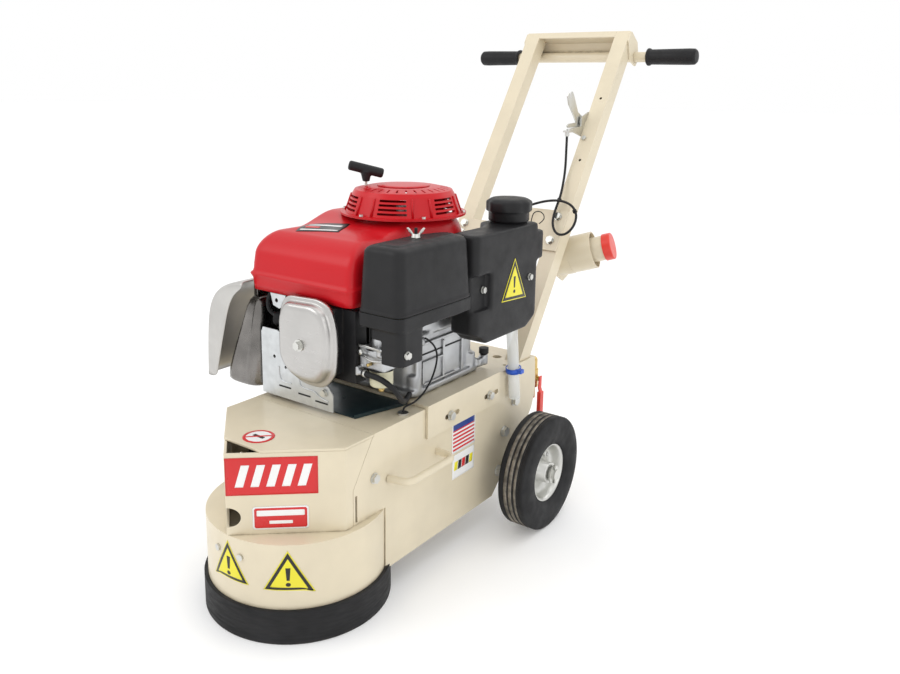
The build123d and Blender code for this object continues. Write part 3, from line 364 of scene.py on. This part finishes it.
def inset_loop(loop, inset):
    """The outline drawn in on every side by about the inset."""
    low = [min(p[a] for p in loop) for a in (0, 1)]
    high = [max(p[a] for p in loop) for a in (0, 1)]
    inner = []
    for p in loop:
        moved = []
        for a in (0, 1):
            middle, half = (low[a] + high[a]) / 2, (high[a] - low[a]) / 2
            moved.append(middle + (p[a] - middle) * (1 - inset / half))
        inner.append(moved)
    return inner


def quarter(inset, height, radius, steps=6):
    """Levels of a rounded edge: (inset, height) from upright to level."""
    levels = []
    for k in range(steps + 1):
        a = pi / 2 * k / steps
        levels.append((inset + radius * (1 - cos(a)), height - radius * (1 - sin(a))))
    return levels


def pressed(name, loop, levels, put, look, body, thickness=0.0):
    """Pressed or moulded shell: insets of one outline at rising levels, closed at the last one."""
    deepest = levels[-1]
    half = min(max(p[a] for p in loop) - min(p[a] for p in loop) for a in (0, 1)) / 2
    steps = [deepest[0] + (half - deepest[0]) * t for t in (0.3, 0.6, 0.85)]
    full = levels + [(inset, deepest[1]) for inset in steps]
    rings = [[put(x, y, z) for x, y in inset_loop(loop, inset)] for inset, z in full]
    vertices, faces = skin(rings, cap_start=thickness == 0)
    piece = add_piece(name, vertices, faces, look, body)
    if thickness:
        wall = piece.modifiers.new("wall", "SOLIDIFY")
        wall.thickness = thickness * MM
        wall.offset = -1
    return piece


def spun(name, profile, centre, axis, look, body, segments, closed=True):
    """Ring turned about an axis, or a solid if not closed; the profile is (radius, place along it) in mm."""
    axis = Vector(axis).normalized()
    side = axis.orthogonal().normalized()
    other = axis.cross(side)
    rings = []
    for radius, along in profile:
        middle, reach = centre + axis * along * MM, max(radius, 0.01)
        ring = []
        for k in range(segments):
            a = 2 * pi * k / segments
            ring.append(middle + (side * cos(a) + other * sin(a)) * reach * MM)
        rings.append(ring)
    if closed:
        rings.append(rings[0])
        vertices, faces = skin(rings, False, False)
    else:
        vertices, faces = skin(rings)
    return add_piece(name, vertices, faces, look, body)


def box_piece(name, corner, opposite, look, body, bevel_mm):
    """Block between two corners."""
    x0, y0, z0 = corner
    x1, y1, z1 = opposite
    rings = [[at(x0, y0, z), at(x1, y0, z), at(x1, y1, z), at(x0, y1, z)] for z in (z0, z1)]
    vertices = rings[0] + rings[1]
    faces = [(3, 2, 1, 0), (4, 5, 6, 7)] + [(k, (k + 1) % 4, 4 + (k + 1) % 4, 4 + k) for k in range(4)]
    return add_piece(name, vertices, faces, look, body, bevel_mm)


def moulded(node, name, voxel_mm, rounding, body):
    """Copy of a CAD node with its edges melted round, as a casting or moulding has them."""
    source = frame["nodes"][node]
    copy = bpy.data.objects.new(name, source.data.copy())
    bpy.context.scene.collection.objects.link(copy)
    grid = copy.modifiers.new("grid", "REMESH")
    grid.mode = "VOXEL"
    grid.voxel_size = voxel_mm * MM
    melt = copy.modifiers.new("melt", "SMOOTH")
    melt.factor = 0.5
    melt.iterations = rounding
    graph = bpy.context.evaluated_depsgraph_get()
    mesh = bpy.data.meshes.new_from_object(copy.evaluated_get(graph))
    copy.modifiers.clear()
    copy.data = mesh
    mesh.materials.clear()
    mesh.materials.append(source.data.materials[0])
    for face in mesh.polygons:
        face.use_smooth = True
        face.material_index = 0
    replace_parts(copy, node)
    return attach(copy, body)


def strand(name, points, radius_mm, look, body):
    """Smooth round cord through control points."""
    curve = bpy.data.curves.new(name, "CURVE")
    curve.dimensions = "3D"
    curve.bevel_depth = radius_mm * MM
    curve.bevel_resolution = 5
    curve.resolution_u = 16
    curve.use_fill_caps = True
    line = curve.splines.new("NURBS")
    line.points.add(len(points) - 1)
    for point, place in zip(line.points, points):
        point.co = (*place, 1)
    line.order_u = 3
    line.use_endpoint_u = True
    curve.materials.append(look)
    piece = bpy.data.objects.new(name, curve)
    bpy.context.scene.collection.objects.link(piece)
    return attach(piece, body)


# ---- cords ------------------------------------------------------------------------------
def make_throttle_cable():
    """Cable from the throttle's adjuster, looped in front of the mid plate, to the engine."""
    points = [at(85, 697, 709.5), at(85.3, 696, 682), at(88, 691, 645)]
    for x, along, off in ((95, 226, 27), (102, 186, 30), (101, 152, 31.5), (105, 122, 32), (122, 101, 33),
                          (143, 102, 34.5), (156, 121, 36), (155, 146, 37.5), (140, 164, 38.5),
                          (117, 172, 39.5), (91, 172, 38), (58, 166, 33)):
        points.append(on_handle(x, along, off))
    points += [at(27, 603, 557), at(7, 560, 540), at(-5, 511, 515), at(-10, 462, 487), at(-10.5, 421.3, 467)]
    cable = strand("throttle_cable_sheath", points, 2.5, PLASTIC, "chassis")
    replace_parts(cable, "throttle_cable")


def make_short_lines():
    """Fuel hose into the crankcase side and the stop switch wire down to its grommet."""
    hose = [at(84.1, 62, 368), at(109, 62, 368), at(131, 64, 362), at(140, 76, 345), at(133, 97, 325),
            at(118, 123, 310), at(103, 148, 303.5), at(91, 171, 303)]
    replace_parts(strand("fuel_line", hose, 4.6, RUBBER, "chassis"), "fuel_hose")
    wire = [at(104, 196, 396), at(108, 212, 385), at(112, 220, 365), at(113, 214, 342), at(113.6, 199, 322),
            at(114, 178, 306), at(114.4, 157, 299.6), at(115, 140, 299.4), at(115.4, 131, 300),
            at(114.4, 126, 298), at(113.7, 125.3, 291.1)]
    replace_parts(strand("stop_switch_wire", wire, 1.6, RUBBER, "chassis"), "kill_wire")


# ---- engine covers ----------------------------------------------------------------------
def make_fan_cover():
    """Red pressed cover: a rolled lip, slanting front and a top that falls away from the starter."""
    outline = [(-151, 46), (76, 46), (76, 192)]
    starter_radius = 108
    for k in range(15):
        a = radians(-43 + 7.5 * k)
        outline.append((starter_radius * cos(a), ENGINE_Y + starter_radius * sin(a)))
    outline += [(30, 388), (0, 400), (-62, 394), (-122, 352), (-144, 300)]
    loop = rounded_loop(outline, 14, 220)
    top, front_roof, lip = 587.0, 566.0, 498.0

    def put(x, y, z):
        if z > lip:
            back = max(0.0, min(1.0, (y - 135) / 85))
            back = back * back * (3 - 2 * back)
            roof = front_roof + (top - front_roof) * back
            share = min(1.0, (z - lip) / (top - lip))
            z = lip + share * (roof - lip) + max(0.0, z - top) * (1 - back)
            y += 24 * max(0.0, 1 - (y - 46) / 110) * share ** 3
        return at(x, y, z)

    levels = [(3.2, 470), (2.6, 480), (1.5, 490), (-0.6, 494.5), (-1.4, 496.5), (-0.6, 498.5), (1.6, 501),
              (2.8, 507), (3.2, 518), (3.8, 530)]
    for a in range(6, 91, 7):
        levels.append((3.8 + 27 * (1 - cos(radians(a))), 536 + 51 * sin(radians(a))))
    levels += [(44, top + 3.0), (62, top + 5.5), (84, top + 7.0)]
    piece = pressed("fan_cover_shell", loop, levels, put, RED, "chassis", thickness=1.6)
    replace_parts(piece, "fan_cover")


def make_air_cleaner_cover():
    """Moulded cover with a lip at its foot and a raised seat for the wing nut."""
    cleaner = [(84.5, 47.5), (169.5, 47.5), (169.5, 200), (167.5, 238.5), (120, 238.5), (84.5, 176)]
    loop = rounded_loop(cleaner, 17, 140)
    levels = [(0.2, 470.2), (-0.4, 471.5), (-0.4, 474), (0.8, 475.2), (1.0, 480), (3.4, 530), (5.0, 557)]
    levels += quarter(5.0, 571.0, 12)[1:] + [(20, 571.6), (22, 573.0), (26, 573.3)]
    piece = pressed("air_cleaner_shell", loop, levels, at, PLASTIC, "air_cover", thickness=2.0)
    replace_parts(piece, "air_cleaner_cover")
    seat = [(3.4, 572.5), (3.4, 574.0), (15, 574.0), (18, 573.3), (19.5, 571.8), (19.5, 570)]
    spun("air_cleaner_boss", seat, at(126, 140, 0), (0, 0, 1), PLASTIC, "air_cover", 48)


def make_valve_cover():
    """Pressed cover with a flat flange, a step and a crowned dome."""
    edge = [(-54, 476), (18, 479), (42, 470), (54, 440), (55, 395), (49, 357), (25, 336), (-18, 336),
            (-50, 350), (-68, 373), (-68, 450)]
    loop = rounded_loop(edge, 24, 120)

    def put(x, z, depth):
        return at(x, 42 - depth, z)

    levels = [(0.8, 0.2), (0.0, 1.0), (0.0, 5.0), (0.6, 6.4), (2.0, 7.0), (6.0, 7.3), (7.4, 8.2), (8.4, 12.0),
              (9.6, 16.5), (11.4, 19.0), (14.5, 20.4), (20.0, 20.8)]
    piece = pressed("valve_cover_dome", loop, levels, put, POLISHED, "chassis")
    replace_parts(piece, "valve_cover")


def make_silencer():
    """Tapered silencer can with pressed ridges up its front, its duct and its post."""
    levels = [(-171, 300, 78, 108), (-171, 301.5, 86, 116), (-171, 305, 92, 122), (-170.5, 312, 93, 123),
              (-169.5, 326, 89, 121), (-166, 345, 82, 118), (-163, 370, 72, 110), (-160, 395, 61, 101),
              (-157, 418, 50, 94), (-154, 436, 42, 88), (-153, 446, 35, 81), (-153, 451, 25, 71),
              (-153, 452.5, 12, 58)]
    rings = []
    for x, z, width, depth in levels:
        ring = []
        for k in range(96):
            a = 2 * pi * k / 96
            c, s = cos(a), sin(a)
            u = abs(c) ** 0.55 * (1 if c > 0 else -1)
            v = abs(s) ** 0.55 * (1 if s > 0 else -1)
            ridge = max(0.0, 1 - abs(abs(u) - 0.45) / 0.16) if v < 0 and 310 < z < 446 else 0.0
            ring.append(at(x + u * width / 2, 98 + v * depth / 2 - 2.6 * ridge, z))
        rings.append(ring)
    vertices, faces = skin(rings)
    piece = add_piece("muffler_pressed_can", vertices, faces, SILENCER, "chassis")
    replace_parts(piece, "muffler")
    box_piece("muffler_duct", (-143, 68, 372), (-64.4, 82, 398), SILENCER, "chassis", 3.0)
    box_piece("muffler_post", (-166, 70, 440), (-157, 130, 477.4), SILENCER, "chassis", 1.0)


def make_heat_shield():
    """Smoothly bent bright sheet over the silencer, with a return flange on its front."""
    knots = [(-155.2, 481.0), (-172, 478.5), (-196, 472), (-217, 461), (-232, 445), (-241, 424),
             (-246.5, 395), (-250, 350), (-252, 302.3)]
    inner = [(-155.2, 470), (-166, 464), (-178, 452), (-188, 434), (-197, 406), (-207, 372), (-216, 340),
             (-222, 318), (-226, 302.3)]
    rings = []
    for y, sunk in ((160, 0.0), (150, 0.0), (60, 0.0), (40, 0.0), (35, 1.2), (32.8, 4.5)):
        rings.append([at(x + sunk * 0.8, y, z - sunk * (0.9 if z > 430 else 0.1)) for x, z in knots])
    rings.append([at(x, 32.4, z) for x, z in inner])
    vertices = [v for ring in rings for v in ring]
    wide = len(knots)
    faces = [(r * wide + k, r * wide + k + 1, (r + 1) * wide + k + 1, (r + 1) * wide + k)
             for r in range(len(rings) - 1) for k in range(wide - 1)]
    piece = add_piece("heat_shield_sheet", vertices, faces, SHIELD, "chassis")
    round_off = piece.modifiers.new("round_off", "SUBSURF")
    round_off.levels = round_off.render_levels = 2
    wall = piece.modifiers.new("wall", "SOLIDIFY")
    wall.thickness = 1.2 * MM
    wall.offset = 0
    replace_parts(piece, "heat_shield")


def make_bracket_pressings():
    """Pressed ridges in the galvanised bracket ahead of the crankcase, and black strips as painted shade for
    its short slots.
    """
    ridges = (((-82, 349), (-82, 330), (-72, 323), (-54, 325)),
              ((-36, 345), (-36, 328), (-25, 323), (0, 324), (8, 316), (28, 313)))
    for k, points in enumerate(ridges):
        strand(f"bracket_ridge_{k}", [at(x, 43.9, z) for x, z in points], 1.3, GALVANISED, "chassis")
    # Each slot is a thin black strip on the bracket's face: painted shade standing for the dark inside of the
    # slot.
    for k, x in enumerate((-82, -38, 0)):
        z = 315 - 4 * k
        box_piece(f"bracket_slot_shade_{k}", (x, 43.2, z), (x + 27, 44.1, z + 2.4), BLACK_PAINT, "chassis", 0.2)


def make_fuel_cap():
    """Lobed cap: a wide faceted rim over a narrower skirt."""
    levels = [(35.8, 570.2), (36.4, 571.5), (36.4, 584.5), (37.2, 586.0), (40.2, 587.2), (41.0, 588.8),
              (41.0, 602.5), (40.0, 604.8), (34.5, 608.2), (31.0, 609.6), (18, 610.6), (6, 610.9)]
    rings = []
    for radius, z in levels:
        lobe = 0.9 if 586 < z < 607 else 0.2
        ring = []
        for k in range(160):
            a = 2 * pi * k / 160
            reach = radius - lobe + lobe * cos(10 * a)
            ring.append(at(128 + reach * cos(a), 408 + reach * sin(a), z))
        rings.append(ring)
    vertices, faces = skin(rings)
    piece = add_piece("fuel_cap_lobed", vertices, faces, PLASTIC, "filler_cap")
    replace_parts(piece, "fuel_cap")


def make_small_cords():
    """Filler cap's tether and the two cable ties round the throttle cable."""
    strand("cap_tether", [at(150, 449, 561), at(150, 452, 574), at(153, 457, 582), at(163, 460, 583),
                          at(172, 458, 577), at(173, 455, 568), at(165, 452, 561.5)], 0.9, RUBBER, "chassis")
    band = [(2.6, -2.6), (4.3, -2.6), (4.3, 2.6), (2.6, 2.6)]
    ties = ((102, 178, 30.5, (0.05, 0.55, 0.83)), (148, 153, 38, (-0.6, 0.45, 0.66)))
    for k, (x, along, off, lean) in enumerate(ties):
        spun(f"cable_tie_{k}", band, on_handle(x, along, off), lean, RUBBER, "chassis", 24)


def make_hose_clip():
    """Blue plastic sleeve and finger tab over the clear hose's clip."""
    along_hose = (-0.007, 0.139, -0.990)
    spun("hose_clip_sleeve", [(12.9, -1), (14.6, -1), (14.6, 8.5), (12.9, 8.5)], at(143.4, 415.4, 294.8),
         along_hose, BLUE, "chassis", 48)
    box_piece("hose_clip_tab", (151, 408, 287.4), (164, 420, 294.6), BLUE, "chassis", 0.8)


def make_starter_rope():
    """Braided rope from inside the starter housing up to the pull grip."""
    low, high, steps, sides = 605, 646.5, 30, 24
    rings = []
    for k in range(steps + 1):
        ring = []
        for n in range(sides):
            a = 2 * pi * n / sides
            radius = 2.15 + 0.2 * cos(3 * a + 1.2 * k)
            z = low + (high - low) * k / steps
            ring.append(at(ROPE_X + radius * cos(a), ROPE_Y + radius * sin(a), z))
        rings.append(ring)
    vertices, faces = skin(rings)
    mesh = bpy.data.meshes.new("starter_rope_braid")
    mesh.from_pydata([tuple(v) for v in vertices], [], faces)
    mesh.materials.append(ROPE)
    rope = bpy.data.objects.new("starter_rope_braid", mesh)
    bpy.context.scene.collection.objects.link(rope)
    for face in mesh.polygons:
        face.use_smooth = True
    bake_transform(rope)
    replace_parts(rope, "starter_rope")


def make_starter_ribs():
    """Raised ribs beside every window of the starter housing, and its stamped centre disc."""
    vertices, faces = [], []
    for k in range(6):
        for side in (-1, 1):
            middle = 60 * k - 33 + side * 9.5
            rings = []
            for radius, z in ((99.0, 590.8), (88.8, 620.5)):
                ring = []
                for turn, out in ((-1.3, -0.6), (-0.8, 2.4), (0.8, 2.4), (1.3, -0.6)):
                    a = radians(middle + turn)
                    ring.append(at((radius + out) * cos(a), ENGINE_Y + (radius + out) * sin(a), z))
                rings.append(ring)
            start = len(vertices)
            more, sides = skin(rings)
            vertices += more
            faces += [tuple(start + n for n in face) for face in sides]
    add_piece("starter_housing_ribs", vertices, faces, RED, "chassis")
    disc = [(0, 633.6), (44, 633.6), (45.5, 634.4), (44.5, 635.2), (30, 635.6), (0, 635.8)]
    spun("starter_centre_disc", disc, at(0, ENGINE_Y, 0), (0, 0, 1), RED, "chassis", 72, closed=False)


def make_engine_details():
    """Bosses, gaskets, linkage and small hardware round the carburettor and the crankcase."""
    ribs = (("low", 208, 307, 92, 4), ("middle", 204, 346, 60, 4), ("top", 200, 378, 150, 5),
            ("front", 204, 310, 5, 38), ("back", 262, 309, 5, 66), ("rear", 318, 306, 6, 72))
    for name, y, z, long, high in ribs:
        opposite = (94.0, y + long, z + high)
        box_piece(f"case_side_rib_{name}", (88.5, y, z), opposite, ALUMINIUM, "chassis", 1.2)
    box_piece("case_joint", (-89.2, 200, 360), (91.2, 344, 362.5), BLACK_PAINT, "chassis", 0.3)
    bowl_axis = at(102, 86, 0)
    spun("float_bowl_drain", [(0, 336), (5.2, 336), (5.2, 341), (3.6, 342), (3.6, 346), (0, 346)], bowl_axis,
         (0, 0, 1), BRASS, "chassis", 6, closed=False)
    spun("float_bowl_gasket", [(17.8, 372.4), (20.2, 372.4), (20.2, 374.6), (17.8, 374.6)], bowl_axis,
         (0, 0, 1), BLACK_PAINT, "chassis", 40)
    strand("choke_link", [at(76, 63, 412), at(88, 60, 414), at(104, 60, 413), at(118, 62, 411)], 1.0, ZINC,
           "chassis")
    strand("governor_spring", [at(78, 66, 396), at(92, 61, 393), at(108, 62, 390), at(119, 66, 392)], 1.6,
           STEEL, "chassis")
    spun("choke_lever_eye", [(0, 0), (4.2, 0), (4.2, 2.2), (0, 2.2)], at(82, 60.5, 402), (0, -1, 0), ZINC,
         "chassis", 24, closed=False)
    screw = [(0, 0), (2.6, 0), (2.6, 9), (0, 9.6)]
    spun("idle_screw", screw, at(97, 67.5, 384), (0, -1, 0), BRASS, "chassis",
         20, closed=False)
    clamp = [(4.4, -2.2), (5.6, -2.2), (5.6, 2.2), (4.4, 2.2)]
    spun("fuel_hose_clamp", clamp, at(89, 62, 368), (1, 0, 0), ZINC, "chassis", 32)


# ---- wheels -----------------------------------------------------------------------------
def make_wheel(side, label):
    """Ribbed tyre with dusty treads, on a zinc rim with a deep web, four bosses and a hub cup."""
    body = f"wheel_{label}"
    centre = Vector((side * WHEEL.x, WHEEL.y, WHEEL.z))
    axis = (side, 0, 0)
    tread = []
    for middle in (-19.5, -9.6, 0.3, 10.2, 20.1):
        tread += [(102.6, middle - 5.4), (105.0, middle - 4.6), (105.4, middle - 3.8), (105.4, middle + 3.0),
                  (105.0, middle + 3.8)]
    profile = [(51.8, -17), (55, -22), (62, -25.6), (72, -27.3), (82, -27.5), (92, -26.8), (99, -25.4)]
    profile += tread
    profile += [(102.0, 24.8), (99, 25.6), (92, 26.9), (90.5, 27.4), (82, 27.5), (72, 27.3), (70, 26.6),
                (62, 25.4), (55, 22), (51.8, 17)]
    for k, (low, high) in enumerate(((-13.2, -6.8), (-3.3, 3.1), (7.4, 12.0))):
        band = [(105.2, low), (105.55, low), (105.55, high), (105.2, high)]
        spun(f"tyre_{label}_dust_{k}", band, centre, axis, TREAD_DUST, body, 120)
    tyre = spun(f"tyre_{label}_ribbed", profile, centre, axis, TYRE, body, 120)
    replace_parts(tyre, f"tyre_{label}")
    rim_profile = [(51.7, -19), (53.4, -20.6), (54.2, -19.6), (52.2, -16), (49, -13), (48.5, 8), (51.7, 15),
                   (54.0, 19), (53.6, 20.8), (51.6, 20.4), (48.6, 15.5), (46.4, 8), (45.2, 2), (42, -1.6),
                   (34, -2.8), (24, -1.0), (19.4, 1.4), (19.4, 22), (18.0, 23.4), (14.5, 23.4), (13.4, 22),
                   (13.4, 6), (10.1, 5.4), (10.1, -24), (18.6, -24), (18.6, -6), (30, -5), (44, -4),
                   (46.6, -12), (48.6, -17)]
    rim = spun(f"rim_{label}_pressed", rim_profile, centre, axis, ZINC, body, 96)
    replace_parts(rim, f"rim_{label}")
    for k in range(4):
        a = pi / 4 + k * pi / 2
        place = centre + Vector((0, cos(a), sin(a))) * 33 * MM
        spun(f"rim_{label}_boss_{k}", [(0, -3.4), (6.4, -3.4), (6.4, 0.4), (5.2, 1.8), (0, 2.0)], place, axis,
             ZINC, body, 24, closed=False)
        spun(f"rim_{label}_rivet_{k}", [(0, 1.0), (3.4, 1.0), (3.2, 3.6), (2.0, 4.6), (0, 4.9)], place, axis,
             STEEL, body, 20, closed=False)


# ---- labels -----------------------------------------------------------------------------
def patch(name, outline, put, lift, look, rows=14, columns=14):
    """Thin film in the shape of a convex outline (u, v), laid on a surface by put(u, v, lift)."""
    low, high = min(v for _, v in outline), max(v for _, v in outline)
    loop = list(zip(outline, outline[1:] + outline[:1]))
    vertices, faces = [], []
    for r in range(rows + 1):
        v = low + (high - low) * min(max(r / rows, 0.0005), 0.9995)
        cuts = [a[0] + (b[0] - a[0]) * (v - a[1]) / (b[1] - a[1]) for a, b in loop
                if (a[1] - v) * (b[1] - v) <= 0 and a[1] != b[1]]
        left, right = min(cuts), max(cuts)
        vertices += [put(left + (right - left) * c / columns, v, lift) for c in range(columns + 1)]
    wide = columns + 1
    for r in range(rows):
        for c in range(columns):
            k = r * wide + c
            faces.append((k, k + 1, k + wide + 1, k + wide))
    piece = add_piece(name, vertices, faces, look, "chassis")
    film = piece.modifiers.new("film", "SOLIDIFY")
    film.thickness = FILM_THICKNESS * MM
    film.offset = 0


def shrunk(points, share):
    """The outline scaled about its middle."""
    u = sum(p[0] for p in points) / len(points)
    v = sum(p[1] for p in points) / len(points)
    return [(u + (p[0] - u) * share, v + (p[1] - v) * share) for p in points]


def rectangle(u0, u1, v0, v1, corner=0.0):
    """Rectangle, with rounded corners if a corner radius is given."""
    if not corner:
        return [(u0, v0), (u1, v0), (u1, v1), (u0, v1)]
    points = []
    for u, v, turn in ((u1 - corner, v0 + corner, -90), (u1 - corner, v1 - corner, 0),
                       (u0 + corner, v1 - corner, 90), (u0 + corner, v0 + corner, 180)):
        for k in range(6):
            a = radians(turn + 18 * k)
            points.append((u + corner * cos(a), v + corner * sin(a)))
    return points


def on_drum(degrees, z, lift):
    """Point on the drum's wall, at an angle from its front."""
    a = radians(degrees)
    return at((DRUM_R + lift) * sin(a), -(DRUM_R + lift) * cos(a), z)


def on_nose(u, z, lift):
    """Point on the belt guard's facet, u along it from the nose."""
    return at(NOSE_TIP.x + FACET.x * u + FACET.y * lift, NOSE_TIP.y + FACET.y * u - FACET.x * lift, z)


def on_side(y, z, lift):
    return at(SIDE_X + lift, y, z)


def on_tank(y, z, lift):
    return at(TANK_X + lift, y, z)


def on_lid(x, y, lift):
    return at(x, y, DECK_Z + lift)


def warning_triangle(name, corners, put, width, dot):
    """Yellow triangle with a black border and a plain exclamation mark."""
    patch(f"{name}_edge", corners, put, 0.35, YELLOW)
    patch(f"{name}_border", shrunk(corners, 0.93), put, 0.50, BLACK_INK)
    patch(f"{name}_field", shrunk(corners, 0.72), put, 0.65, YELLOW)
    u = sum(p[0] for p in corners) / 3
    v = sum(p[1] for p in corners) / 3
    mark = [(u - width * 0.6, v - 2), (u + width * 0.6, v - 2), (u + width, v + 18), (u - width, v + 18)]
    patch(f"{name}_bar", mark, put, 0.80, BLACK_INK)
    ball = [(u + dot * cos(k * pi / 8), v - 8.5 + 3.2 * sin(k * pi / 8)) for k in range(16)]
    patch(f"{name}_dot", ball, put, 0.80, BLACK_INK)


def make_engine_plate():
    """Plain plate with bars, lying on the roof of the fan cover."""
    shell = bpy.data.objects["fan_cover_shell"].data
    roof = BVHTree.FromPolygons([v.co for v in shell.vertices], [tuple(f.vertices) for f in shell.polygons])

    def on_cover(u, v, lift):
        x, y = -58 + 0.970 * u - 0.35 * v, 128 + 0.242 * u + 0.94 * v
        return roof.ray_cast(at(x, y, 700), Vector((0, 0, -1)))[0] + Vector((0, 0, lift * MM))

    patch("cover_plate", rectangle(-40, 40, -26, 26), on_cover, 0.3, BLACK_INK)
    patch("cover_plate_bar", rectangle(-31, 31, 6, 15), on_cover, 0.5, WHITE_INK)
    patch("cover_plate_dash", rectangle(-31, -4, -9, 0), on_cover, 0.5, RED_INK)
    patch("cover_plate_foot", rectangle(-35, 35, -20, -16), on_cover, 0.5, WHITE_INK)


def make_labels():
    """Warning triangles, plates and stickers, all with plain shapes in place of words and marks."""
    warning_triangle("drum_sign_left", [(-15.1, 82), (15.7, 84), (-0.4, 148)], on_drum, 1.5, 1.5)
    warning_triangle("drum_sign_right", [(23.5, 81), (55.4, 80), (39.5, 148)], on_drum, 1.5, 1.5)
    warning_triangle("tank_sign", [(322, 439), (405, 436), (364, 513)], on_tank, 3.4, 3.4)
    patch("nose_plate", rectangle(0.8, 133.8, 219.0, 277.5), on_nose, 0.40, RED_INK)
    for k in range(5):
        u = 14 + 22.5 * k
        slanted = [(u, 232), (u + 12, 232), (u + 22, 266), (u + 10, 266)]
        patch(f"nose_plate_bar_{k}", slanted, on_nose, 0.65, WHITE_INK)
    patch("service_plate", rectangle(38, 119.5, 164, 200.4, 3), on_nose, 0.40, WHITE_INK)
    patch("service_plate_field", rectangle(40.5, 117, 166.5, 198, 2), on_nose, 0.60, RED_INK)
    patch("service_plate_window", rectangle(44, 113.5, 185.5, 194.5, 1), on_nose, 0.80, WHITE_INK)
    patch("service_plate_line", rectangle(62, 96, 173, 178, 1), on_nose, 0.80, WHITE_INK)
    ring = [(24 * cos(k * pi / 20), -76.5 + 24 * sin(k * pi / 20)) for k in range(40)]
    patch("lid_sign_ring", ring, on_lid, 0.35, RED_INK, rows=24)
    patch("lid_sign_field", shrunk(ring, 0.80), on_lid, 0.50, WHITE_INK, rows=24)
    patch("lid_sign_mark", [(-11, -79.5), (11, -79.5), (11, -73.5), (-11, -73.5)], on_lid, 0.65, BLACK_INK)
    slash = [(-15.2, -89.2), (-12.6, -91.8), (15.2, -63.8), (12.6, -61.2)]
    patch("lid_sign_bar", slash, on_lid, 0.80, RED_INK)
    make_engine_plate()
    patch("side_flag_card", rectangle(241, 312, 180, 237), on_side, 0.35, WHITE_INK)
    for k in range(7):
        low = 184.5 + 7.0 * k
        patch(f"side_flag_stripe_{k}", rectangle(244, 309, low, low + 3.7), on_side, 0.50, RED_INK, rows=2,
              columns=4)
    patch("side_flag_band", rectangle(244, 309, 222, 233.5), on_side, 0.65, BLUE_INK)
    patch("side_notice_card", rectangle(243, 310, 132, 176), on_side, 0.35, WHITE_INK)
    for k, colour in enumerate((YELLOW, BLACK_INK, RED_INK, BLACK_INK, YELLOW)):
        u = 248 + 11.5 * k
        patch(f"side_notice_block_{k}", [(u, 147), (u + 10, 147), (u + 12, 163), (u + 2, 163)], on_side, 0.50,
              colour, rows=3, columns=3)


# ---- stage ------------------------------------------------------------------------------
def make_floor():
    """Wide white floor with a faint glow of its own."""
    mesh = bpy.data.meshes.new("floor")
    mesh.from_pydata([(-30, -30, 0), (30, -30, 0), (30, 30, 0), (-30, 30, 0)], [], [(0, 1, 2, 3)])
    paper = material("floor_paper", (0.88, 0.88, 0.88), 0.9, tint=0.01, grain=0.02, shine=0.1)
    glow = paper.node_tree.nodes["Principled BSDF"]
    glow.inputs["Emission Color"].default_value = (1, 1, 1, 1)
    glow.inputs["Emission Strength"].default_value = 0.14
    mesh.materials.append(paper)
    floor = bpy.data.objects.new("floor", mesh)
    floor.location.z = -FLOOR_DROP * MM
    bpy.context.scene.collection.objects.link(floor)


def make_lights():
    """White surroundings and four soft lamps aimed at the machine."""
    world = bpy.data.worlds.new("studio")
    world.use_nodes = True
    world.node_tree.nodes["Background"].inputs["Color"].default_value = (1.0, 1.0, 1.0, 1)
    world.node_tree.nodes["Background"].inputs["Strength"].default_value = 1.0
    bpy.context.scene.world = world
    lamps = (("key", (-1.8, -2.4, 2.6), 1.8, 20), ("fill", (2.8, -1.2, 1.6), 2.0, 7),
             ("top", (0.3, 0.4, 3.2), 2.4, 12), ("back", (0.8, 2.6, 2.2), 1.6, 7))
    for name, place, size, power in lamps:
        data = bpy.data.lights.new(name, "AREA")
        data.size = size
        data.energy = power
        lamp = bpy.data.objects.new(name, data)
        lamp.location = place
        lamp.rotation_mode = "QUATERNION"
        lamp.rotation_quaternion = (Vector((0, 0, 0.4)) - Vector(place)).to_track_quat("-Z", "Y")
        bpy.context.scene.collection.objects.link(lamp)
    bpy.context.scene.view_settings.view_transform = "Standard"


# ---- build ------------------------------------------------------------------------------
MOULDINGS = (("fuel_tank", "fuel_tank_moulding", 2.6, 16, "chassis"),
             ("crankcase", "crankcase_casting", 2.4, 4, "chassis"),
             ("carburettor", "carburettor_casting", 1.3, 3, "chassis"),
             ("float_bowl", "float_bowl_casting", 1.2, 5, "chassis"),
             ("starter_grip", "starter_grip_moulding", 1.2, 6, "pull_grip"),
             ("plug_boot", "plug_boot_moulding", 1.3, 5, "chassis"),
             ("air_cleaner_base", "air_cleaner_tray", 1.5, 5, "chassis"),
             ("wing_nut", "wing_nut_forging", 0.7, 4, "cover_nut"),
             ("valve_lever", "valve_lever_dipped", 0.8, 5, "water_lever"))

paint_cad_nodes()
make_camera()
make_floor()
make_lights()
make_throttle_cable()
make_short_lines()
make_fan_cover()
make_air_cleaner_cover()
make_valve_cover()
make_silencer()
make_heat_shield()
make_bracket_pressings()
make_fuel_cap()
make_small_cords()
make_hose_clip()
make_starter_rope()
make_starter_ribs()
make_engine_details()
for wheel_side, wheel_label in ((1, "left"), (-1, "right")):
    make_wheel(wheel_side, wheel_label)
for mould in MOULDINGS:
    moulded(*mould)
make_labels()
